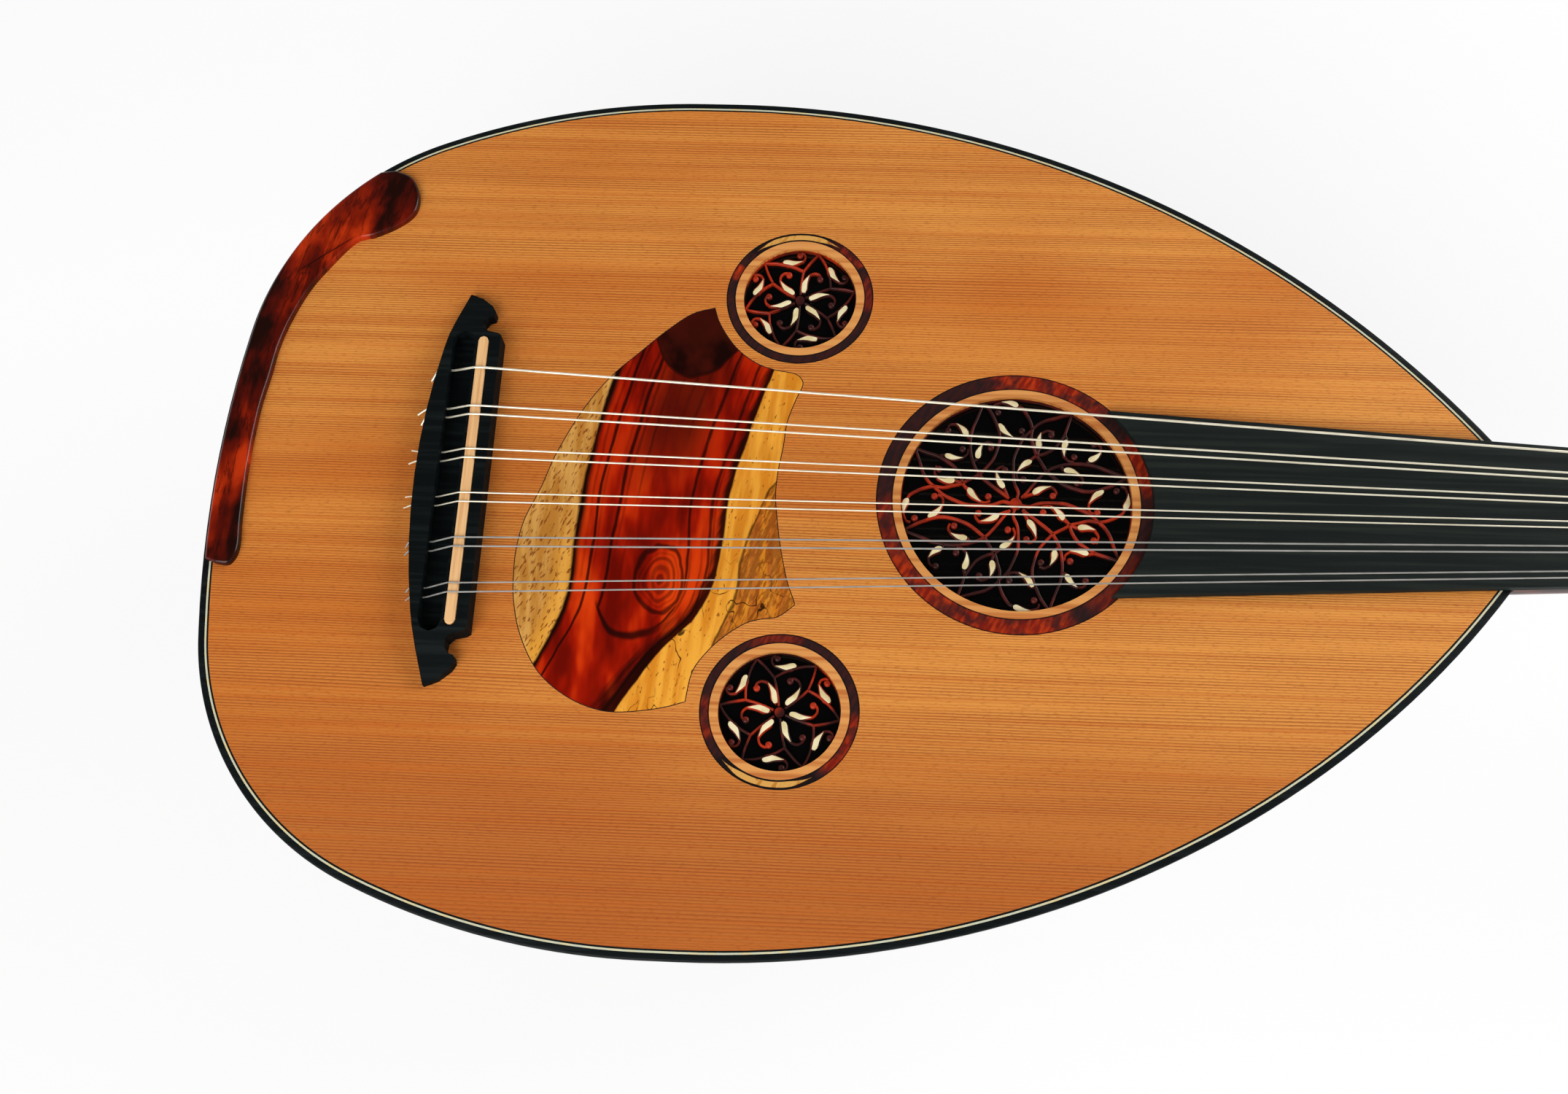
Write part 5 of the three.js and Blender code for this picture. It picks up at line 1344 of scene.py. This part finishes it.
class OUD_OT_edge(bpy.types.Operator):
    """Make the binding round the soundboard and the two lines inside it"""

    bl_idname = "oud.edge"
    bl_label = "Edge"

    def execute(self, context):
        sizes = context.scene.oud_body
        low = -sizes.soundboard_thickness
        width, line = sizes.binding_width, sizes.line_width
        binding = edge_band(sizes, 0.0, width, low, line)
        pale = edge_band(sizes, width, width + line, low / 2)
        dark = edge_band(sizes, width + line, width + 2 * line, low / 2)
        piece("binding", binding, "ebony", ("edge_binding",))
        piece("pale_line", pale, "edge_line", ("purfling",))
        piece("dark_line", dark, "ebony")
        return {"FINISHED"}


def holes(sizes):
    """The three sound holes: name, middle, radius, the ring's two radii."""
    main = ("main", (sizes.main_hole_place, 0.0), sizes.main_hole_radius, sizes.main_ring_inner,
            sizes.main_ring_outer)
    small = [
        (name, (sizes.small_hole_place, side * sizes.small_hole_offset), sizes.small_hole_radius,
         sizes.small_ring_inner, sizes.small_ring_outer)
        for name, side in (("bass", 1), ("treble", -1))
    ]
    return [main, *small]


def pickguard_loop(sizes):
    """The pickguard's outline: smooth between the given points, with its two corners kept sharp."""
    points = thousandths(PICKGUARD_SHARES) * [sizes.pickguard_length, sizes.pickguard_half_width]
    points += [sizes.pickguard_place, 0]
    sides = points[: PICKGUARD_CORNER + 1], np.concatenate([points[PICKGUARD_CORNER:], points[:1]])
    return np.concatenate([smooth(side, 4)[:-1] for side in sides])


class OUD_OT_soundboard(bpy.types.Operator):
    """Make the cedar soundboard, cut out for its holes, rings and pickguard"""

    bl_idname = "oud.soundboard"
    bl_label = "Soundboard"

    def execute(self, context):
        sizes, face = context.scene.oud_body, context.scene.oud_face
        inset = sizes.binding_width + 2 * sizes.line_width
        seat = -face.ring_thickness
        outline = body_loop(sizes, inset)
        bores = [circle(middle, radius, HOLE_STEPS) for _, middle, radius, _, _ in holes(face)]
        lower = plate([outline, *bores], -sizes.soundboard_thickness, seat)
        outer = [circle(middle, ring_outer, RING_STEPS) for _, middle, _, _, ring_outer in holes(face)]
        upper = plate([outline, *outer, pickguard_loop(face)], seat, 0.0)
        lips = [
            plate([circle(middle, edge, HOLE_STEPS) for edge in (ring_inner, radius)], seat, 0.0)
            for _, middle, radius, ring_inner, _ in holes(face)
        ]
        piece("soundboard_plate", joined([lower, upper]), "cedar", ("soundboard",))
        piece("hole_lips", joined(lips), "lip")
        return {"FINISHED"}


class OUD_OT_rings(bpy.types.Operator):
    """Make the wooden rings let in round the sound holes"""

    bl_idname = "oud.rings"
    bl_label = "Rings"

    def execute(self, context):
        face = context.scene.oud_face
        for name, middle, _, inner, outer in holes(face):
            loops = [circle(middle, radius, RING_STEPS) for radius in (outer, inner)]
            ring = plate(loops, -face.ring_thickness, PROUD)
            piece(f"inlay_ring_{name}", ring, f"ring_{name}", (f"ring_{name}",))
        return {"FINISHED"}


def rosette_shells(radius, repeats, strands, leaves, face, leaf_width, strand_width, low, high):
    """One rosette round its own middle: a hub, a rim, and strands, leaves, curls and balls, repeated at
    even turns."""
    wood, bone = [], []
    for strand in strands:
        path = smooth(thousandths(strand) * radius, 5)
        wood.append(strip(path, strand_width, low, high, rounding=0.00015))
    for head, tail, curl, ball in leaves:
        head, tail, curl, ball = (thousandths(points) * radius for points in (head, tail, curl, ball))
        path, share, bone_width, wood_path, wood_width = comma(
            head, tail, curl, leaf_width, face.leaf_margin, strand_width)
        wood.append(strip(wood_path, wood_width, low, high - LEAF_DROP, rounding=0.0002))
        inlaid = share < BONE_SHARE
        bone.append(strip(path[inlaid], bone_width[inlaid], high - BONE_DEPTH, high, rounding=0.0001))
        wood.append(button(ball, face.ball_radius, low, high))
    turns = [FULL_TURN * k / repeats for k in range(repeats)]
    whole_wood = [turned(shell, angle) for angle in turns for shell in wood]
    whole_bone = [turned(shell, angle) for angle in turns for shell in bone]
    rim = [circle((0, 0), edge, HOLE_STEPS) for edge in (radius + ROSETTE_RIM, radius - RIM_LIP)]
    hub = plate([circle((0, 0), HUB_STRANDS * strand_width, 24)], low, high)
    return joined([*whole_wood, plate(rim, low, high), hub]), joined(whole_bone)


class OUD_OT_rosettes(bpy.types.Operator):
    """Make the carved rosettes, their bone leaves and the near-black sheets behind them that paint the
    shade of the bowl's inside
    """

    bl_idname = "oud.rosettes"
    bl_label = "Rosettes"

    def execute(self, context):
        sizes, face = context.scene.oud_body, context.scene.oud_face
        high = -sizes.soundboard_thickness
        low = high - face.carving_thickness
        main = (4, MAIN_STRANDS, MAIN_LEAVES, face, face.leaf_width, face.strand_width, low, high)
        widths = (face.leaf_width * SMALL_LEAF, face.strand_width * SMALL_STRAND)
        small = (6, SMALL_STRANDS, SMALL_LEAVES, face, *widths, low, high)
        for name, middle, radius, _, _ in holes(face):
            shells = rosette_shells(radius, *(main if name == "main" else small))
            if name == "bass":
                shells = [turned(mirrored(shell), face.bass_rosette_turn) for shell in shells]
            wood, bone = (shifted(shell, (*middle, 0.0)) for shell in shells)
            piece(f"carving_{name}", wood, f"rosette_{name}", (f"rosette_{name}",))
            piece(f"leaves_{name}", bone, "bone")
            # A near-black glossy sheet under the rosette paints the shade of the bowl's inside
            loop = circle(middle, radius + ROSETTE_RIM, HOLE_STEPS)
            sheet = plate([loop], low - SHEET_GAP - SHEET_THICKNESS, low - SHEET_GAP)
            piece(f"sheet_{name}", sheet, "smoked")
        return {"FINISHED"}


class OUD_OT_pickguard(bpy.types.Operator):
    """Make the figured pickguard and the dark strip round it, which paints the shade of the gap at its edge
    """

    bl_idname = "oud.pickguard"
    bl_label = "Pickguard"

    def execute(self, context):
        face = context.scene.oud_face
        outer = pickguard_loop(face)
        tangent = unit(np.roll(outer, -1, 0) - np.roll(outer, 1, 0))
        inward = np.c_[-tangent[:, 1], tangent[:, 0]]
        inward *= np.sign(((outer.mean(0) - outer) * inward).sum(-1)).sum()
        inner = outer + unit(inward) * face.pickguard_line
        guard = plate([inner], -face.ring_thickness, PROUD)
        # A dark strip between the two outlines paints the shade of the gap round the pickguard
        line = plate([outer, inner], -face.ring_thickness, PROUD / 2)
        piece("pickguard_inlay", guard, "pickguard", ("pickguard",))
        piece("pickguard_line", line, "glue")
        return {"FINISHED"}


class OUD_OT_armrest(bpy.types.Operator):
    """Make the armrest along the tail, with its upper edge rounded"""

    bl_idname = "oud.armrest"
    bl_label = "Armrest"

    def execute(self, context):
        sizes, face = context.scene.oud_body, context.scene.oud_face
        start = -asin(face.armrest_foot / sizes.tail_radius)
        headings = np.linspace(start, face.armrest_turn, 60)
        outer = edge_line(sizes, np.abs(headings), face.armrest_inset)
        outer[headings < 0, 1] *= -1
        inner = smooth(thousandths(ARMREST_SHARES) * [face.armrest_reach, face.armrest_span], 6)
        slab = plate([np.concatenate([outer, inner])], 0.0, face.armrest_thickness)
        piece("armrest_plate", slab, "armrest", ("armrest",), rounding=face.armrest_rounding)
        return {"FINISHED"}


class OUD_OT_bridge(bpy.types.Operator):
    """Make the bridge and its saddle strip with eased edges"""

    bl_idname = "oud.bridge"
    bl_label = "Bridge"

    def execute(self, context):
        eased("bridge_block", "bridge", "bridge")
        eased("saddle_strip", "bridge_saddle", "saddle")
        return {"FINISHED"}


def neck_shell(sizes, bend):
    """The neck: at each station a half ellipse below a flat top, as wide as the fingerboard, running to a
    slanted end that faces along the pegbox. It starts a glued joint's width from the bowl."""
    end_depth = sizes.neck_nut_depth
    start_depth = depth_ratio(sizes) * sizes.joint_half_width
    start = JOINT_PLACE + JOINT_GAP
    angle = np.linspace(0, pi, 41)[None, :]
    way = np.linspace(0, 1, 24)[:, None]
    last = NECK_END - end_depth * np.sin(angle) * tan(bend)
    x = start + (last - start) * way
    share_in = (x - JOINT_PLACE) / (NUT_PLACE - JOINT_PLACE)
    width = sizes.joint_half_width + (sizes.nut_half_width - sizes.joint_half_width) * share_in
    depth = start_depth + (end_depth - start_depth) * share_in
    return loft(np.stack([x, width * np.cos(angle), -depth * np.sin(angle)], -1))


class OUD_OT_neck(bpy.types.Operator):
    """Make the neck, the fingerboard and the nut"""

    bl_idname = "oud.neck"
    bl_label = "Neck"

    def execute(self, context):
        sizes, face = context.scene.oud_body, context.scene.oud_face
        piece("neck_round", neck_shell(sizes, context.scene.oud_head.bend), "mahogany", ("neck",))
        radius = face.main_ring_outer - face.board_lap
        slope = (sizes.nut_half_width - sizes.joint_half_width) / (NUT_PLACE - JOINT_PLACE)
        reach = 0.0
        for _ in range(8):
            at = face.main_hole_place + radius * cos(reach)
            reach = asin((sizes.joint_half_width + slope * (at - JOINT_PLACE)) / radius)
        angle = np.linspace(-reach, reach, 40)
        end = np.c_[face.main_hole_place + radius * np.cos(angle), radius * np.sin(angle)]
        at_nut = [[NUT_PLACE, sizes.nut_half_width], [NUT_PLACE, -sizes.nut_half_width]]
        board = plate([np.concatenate([end, at_nut])], BOARD_GAP, FINGERBOARD_TOP)
        piece("fingerboard_plate", board, "fingerboard", ("fingerboard",), rounding=0.0004)
        eased("nut_block", "nut", "bone", edge=0.0003)
        return {"FINISHED"}


class OUD_OT_pegbox(bpy.types.Operator):
    """Make the pegbox's walls, back and head with eased edges"""

    bl_idname = "oud.pegbox"
    bl_label = "Pegbox"

    def execute(self, context):
        eased("wall_bass", "pegbox_wall_bass", "ebony")
        eased("wall_treble", "pegbox_wall_treble", "ebony")
        eased("pegbox_shell", "pegbox_back", "ebony", edge=0.0008)
        return {"FINISHED"}


def from_pegbox(head, points):
    """Places in the pegbox's own frame (along it, across, up from its rim) as body places: the frame is
    turned back by the bend and dropped below the neck's end."""
    u, v, n = np.moveaxis(np.asarray(points, float), -1, 0)
    rise = n - head.drop
    x = NECK_END + u * cos(head.bend) + rise * sin(head.bend)
    return np.stack([x, v, rise * cos(head.bend) - u * sin(head.bend)], -1)


def wall_half_width(sizes, head, u):
    """The pegbox's half width over its walls, at a distance along it: it narrows evenly to the head."""
    return sizes.nut_half_width + u / head.wall_end * (head.end_half_width - sizes.nut_half_width)


def peg_place(head, index):
    """Where peg number index crosses the pegbox: along it and up from its rim."""
    u = head.first_peg + index * head.peg_spacing
    depth = head.root_depth + u / head.wall_end * (head.end_depth - head.root_depth)
    return u, -head.peg_depth_share * depth


def peg_shell(sizes, head, index, turn_angle):
    """One peg: rings along its axis, round on the shaft and collar, and flattened on the thumb piece by
    scaling one of the ring's two directions."""
    u, n = peg_place(head, index)
    half = wall_half_width(sizes, head, u)
    tip = -half - head.tip_proud
    collar = half + 2 * head.clearance
    stem = collar + head.collar_length
    narrow = head.peg_radius - head.peg_taper * (half - tip)
    radius = head.collar_radius
    length = head.collar_length
    shaft = [
        (tip, 0.5 * narrow), (tip + 0.0004, 0.88 * narrow), (tip + 0.001, narrow),
        (collar, head.peg_radius), (collar, 0.93 * radius), (collar + 0.0005, radius),
        (collar + 0.5 * length, radius), (collar + 0.6 * length, 0.9 * radius),
        (stem - 0.0004, 1.15 * head.stem_radius),
    ]
    thumb = smooth(THUMB_PROFILE, 4) * [head.thumb_length, head.thumb_radius, 1] + [stem, 0, 0]
    knob = np.linspace(-1.2, 1.45, 8)
    size = BALL_SHARE * head.thumb_radius
    end = stem + BALL_PLACE * head.thumb_length
    ball = np.c_[end + size * np.sin(knob), size * np.cos(knob), np.ones(8)]
    rows = np.concatenate([np.c_[shaft, np.ones(len(shaft))], thumb, ball])
    angle = np.linspace(0, FULL_TURN, PEG_STEPS, endpoint=False)[None, :]
    flat = rows[:, 1:2] * np.cos(angle) * rows[:, 2:3]
    wide = rows[:, 1:2] * np.sin(angle)
    x = flat * cos(turn_angle) + wide * sin(turn_angle)
    z = wide * cos(turn_angle) - flat * sin(turn_angle)
    y = np.broadcast_to(rows[:, :1], x.shape)
    side = -1 if index % 2 else 1
    vertices, faces = loft(np.stack([u + side * x, side * y, n + z], -1))
    return from_pegbox(head, vertices), faces


class OUD_OT_pegs(bpy.types.Operator):
    """Make the turned pegs, each on its own body"""

    bl_idname = "oud.pegs"
    bl_label = "Pegs"

    def execute(self, context):
        sizes, head = context.scene.oud_body, context.scene.oud_head
        for index, node in enumerate(PEGS):
            shell = peg_shell(sizes, head, index, radians(PEG_TURNS[index]))
            piece(f"turned_{node}", shell, "ebony", (node,), body=node, crease=radians(50))
        return {"FINISHED"}


def spread(index, course_spacing, pair_spacing):
    """How far string number index lies from the middle: a single string, then pairs."""
    course = (index + 1) // 2
    side = 0 if index == 0 else (1 if index % 2 else -1)
    return course_spacing * ((COURSES - 1) / 2 - course) + side * pair_spacing / 2


def eased_path(points, radius):
    """A path with each corner replaced by a short parabola between the points a radius before and after
    it."""
    parts = [points[:1]]
    t = np.linspace(0, 1, 7)[:, None]
    for before, corner, after in zip(points[:-2], points[1:-1], points[2:]):
        reach_in = min(radius, np.linalg.norm(before - corner) / 2.5)
        reach_out = min(radius, np.linalg.norm(after - corner) / 2.5)
        start = corner + (before - corner) / np.linalg.norm(before - corner) * reach_in
        end = corner + (after - corner) / np.linalg.norm(after - corner) * reach_out
        parts.append((1 - t) ** 2 * start + 2 * t * (1 - t) * corner + t**2 * end)
    parts.append(points[-1:])
    return np.concatenate(parts)


def string_path(head, index, radius, peg):
    """One string: its tail behind the bridge, its hole, the saddle, the nut, and then a helix round its peg
    that starts where the straight stretch touches it."""
    clear = radius + head.clearance
    at_saddle = spread(index, head.course_saddle, head.pair_saddle)
    at_nut = spread(index, head.course_nut, head.pair_nut)
    tie = at_saddle * head.tie_share
    back = head.bridge_place + head.bridge_setback * (tie / head.bridge_half_width) ** 2
    behind, aside = TAIL_ENDS[index]
    over_saddle = SADDLE_TOP + clear - SEATING
    over_nut = NUT_TOP - NUT_SLOT + clear - SEATING
    line = np.array([
        (back - TIE_REACH - behind, tie + aside, head.hole_height - TIE_DROP),
        (back - TIE_REACH, tie, head.hole_height),
        (head.channel_place + clear, tie, head.hole_height),
        (head.saddle_place, at_saddle, over_saddle),
        (head.saddle_place + ON_SADDLE, at_saddle, over_saddle),
        (NECK_END - IN_NUT, at_nut, over_nut),
        (NECK_END, at_nut, over_nut),
    ])
    u, n = peg_place(head, peg)
    turn_radius = head.peg_radius + clear
    last = line[-1]
    along, up = last[0] - NECK_END, last[2]
    from_u = along * cos(head.bend) - up * sin(head.bend)
    from_n = along * sin(head.bend) + up * cos(head.bend) + head.drop
    apart = np.hypot(from_u - u, from_n - n)
    first = np.arctan2(from_n - n, from_u - u) - np.arccos(turn_radius / apart)
    way = np.arange(head.winding_turns * TURN_STEPS + 1) / TURN_STEPS
    angle = first - FULL_TURN * way
    v = at_nut / 2 - np.sign(at_nut) * (2 * radius + head.winding_gap) * way
    helix = np.stack([u + turn_radius * np.cos(angle), v, n + turn_radius * np.sin(angle)], -1)
    return np.concatenate([eased_path(line, STRING_BEND), from_pegbox(head, helix)])


class OUD_OT_strings(bpy.types.Operator):
    """Make the eleven strings, from their tails at the bridge to their turns round the pegs"""

    bl_idname = "oud.strings"
    bl_label = "Strings"

    def execute(self, context):
        head = context.scene.oud_head
        radii = head.bass_string_radius * np.array(STRING_RADIUS_SHARES)
        for index, node in enumerate(STRINGS):
            path = string_path(head, index, radii[index], STRING_OF_PEG.index(index))
            look = "wound" if index < WOUND_STRINGS else "nylon"
            piece(f"{node}_line", tube(path, radii[index], 10), look, (node,), crease=radians(70))
        return {"FINISHED"}


def lamp(name, place, aim, size, power):
    """A square soft lamp at a place, turned towards its aim."""
    data = bpy.data.lights.new(name, "AREA")
    data.shape = "SQUARE"
    data.size = size
    data.energy = power
    made = bpy.data.objects.new(name, data)
    made.location = place
    made.rotation_euler = (Vector(aim) - Vector(place)).to_track_quat("-Z", "Y").to_euler()
    bpy.context.scene.collection.objects.link(made)


class OUD_OT_stage(bpy.types.Operator):
    """Set up the camera, the pale floor, the soft lamps and the world"""

    bl_idname = "oud.stage"
    bl_label = "Stage"

    def execute(self, context):
        scene, stage = context.scene, context.scene.oud_stage
        scene.view_settings.view_transform = "Standard"
        camera = bpy.data.objects.new("camera", bpy.data.cameras.new("camera"))
        camera.data.lens = stage.camera_lens
        camera.data.sensor_width = 36
        camera.data.clip_start = 0.01
        camera.location = placed(stage.camera_place)
        camera.rotation_euler = stage.camera_turn
        scene.collection.objects.link(camera)
        scene.camera = camera
        self.floor(stage)
        self.world(scene, stage)
        lamp("key", (-0.5, -1.3, 1.35), (0.1, 0.0, 0.15), 1.5, stage.key_power)
        lamp("fill", (1.5, 0.7, 1.1), (0.1, 0.0, 0.1), 1.2, stage.fill_power)
        return {"FINISHED"}

    def floor(self, stage):
        """A wide pale floor. The camera, mirrors and glass see it glow white, and near the oud a share of
        its own shading stays."""
        near, far, reach = 0.7, 1.8, 6.0
        paint = Finish("floor", 0.9, 0.1)
        paint.finish(stage.floor_white)
        rays = paint.nodes.new("ShaderNodeLightPath").outputs
        kinds = ("Is Camera Ray", "Is Glossy Ray", "Is Transmission Ray")
        seen = highest(*[Value(paint, rays[kind]) for kind in kinds])
        away = paint.add("ShaderNodeVectorMath", {0: paint.place}, "Value", operation="LENGTH")
        glowing = seen * away.ranged(near, far, 1.0, 1 - stage.shadow_share)
        shaded, glow = Value(paint, paint.shader.outputs[0]), paint.add("ShaderNodeEmission")
        surface = paint.add("ShaderNodeMixShader", {0: glowing, 1: shaded, 2: glow})
        paint.put(paint.nodes["Material Output"].inputs["Surface"], surface)
        places = [(-reach, -reach, 0), (reach, -reach, 0), (reach, reach, 0), (-reach, reach, 0)]
        mesh = bpy.data.meshes.new("floor")
        mesh.from_pydata(places, [], [(0, 1, 2, 3)])
        mesh.materials.append(paint.material)
        ground = bpy.data.objects.new("floor", mesh)
        bpy.context.scene.collection.objects.link(ground)
        ground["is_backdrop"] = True

    def world(self, scene, stage):
        """A soft sky whose strength falls evenly from the horizon to overhead."""
        world = bpy.data.worlds.new("studio")
        world.use_nodes = True
        scene.world = world
        nodes, links = world.node_tree.nodes, world.node_tree.links
        soft = nodes["Background"]
        soft.inputs["Color"].default_value = (1, 1, 1, 1)
        split = nodes.new("ShaderNodeSeparateXYZ")
        links.new(nodes.new("ShaderNodeTexCoord").outputs["Generated"], split.inputs[0])
        fall = nodes.new("ShaderNodeMapRange")
        fall.inputs["From Max"].default_value = 0.75
        fall.inputs["To Min"].default_value = stage.low_sky
        fall.inputs["To Max"].default_value = stage.high_sky
        links.new(split.outputs[2], fall.inputs["Value"])
        links.new(fall.outputs["Result"], soft.inputs["Strength"])


OPERATORS = (
    OUD_OT_bowl, OUD_OT_edge, OUD_OT_soundboard, OUD_OT_rings, OUD_OT_rosettes, OUD_OT_pickguard,
    OUD_OT_armrest, OUD_OT_bridge, OUD_OT_neck, OUD_OT_pegbox, OUD_OT_pegs, OUD_OT_strings, OUD_OT_stage,
)
GROUPS = {
    "oud_body": OudBodySizes,
    "oud_face": OudFaceSizes,
    "oud_head": OudHeadSizes,
    "oud_colours": OudColours,
    "oud_stage": OudStageSettings,
}


class OUD_PT_panel(bpy.types.Panel):
    """The oud's operators, sizes and colours"""

    bl_idname = "OUD_PT_panel"
    bl_label = "Oud"
    bl_space_type = "VIEW_3D"
    bl_region_type = "UI"
    bl_category = "Oud"

    def draw(self, context):
        for operator in OPERATORS:
            self.layout.operator(operator.bl_idname)
        for group, kind in GROUPS.items():
            box = self.layout.box()
            box.label(text=kind.__doc__)
            for key in kind.__annotations__:
                box.prop(getattr(context.scene, group), key)


def register():
    """Registers the groups, the operators and the panel, and hangs each group on the scene."""
    for kind in (*GROUPS.values(), *OPERATORS, OUD_PT_panel):
        bpy.utils.register_class(kind)
    for name, kind in GROUPS.items():
        setattr(bpy.types.Scene, name, PointerProperty(type=kind))


def unregister():
    """Takes all of it away again."""
    for name in GROUPS:
        delattr(bpy.types.Scene, name)
    for kind in (OUD_PT_panel, *reversed(OPERATORS), *reversed(list(GROUPS.values()))):
        bpy.utils.unregister_class(kind)


def corners(bounds):
    """A box's two corners as plain lists."""
    return [list(corner) for corner in bounds]


def main():
    """Runs each operator in order, then works out the boxes round the solids and round the dressed oud."""
    register()
    for operator in OPERATORS:
        group, name = operator.bl_idname.split(".")
        getattr(getattr(bpy.ops, group), name)()
    {"cad": corners(CAD_BOX), "visual": corners(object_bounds())}


if __name__ == "__main__":
    main()
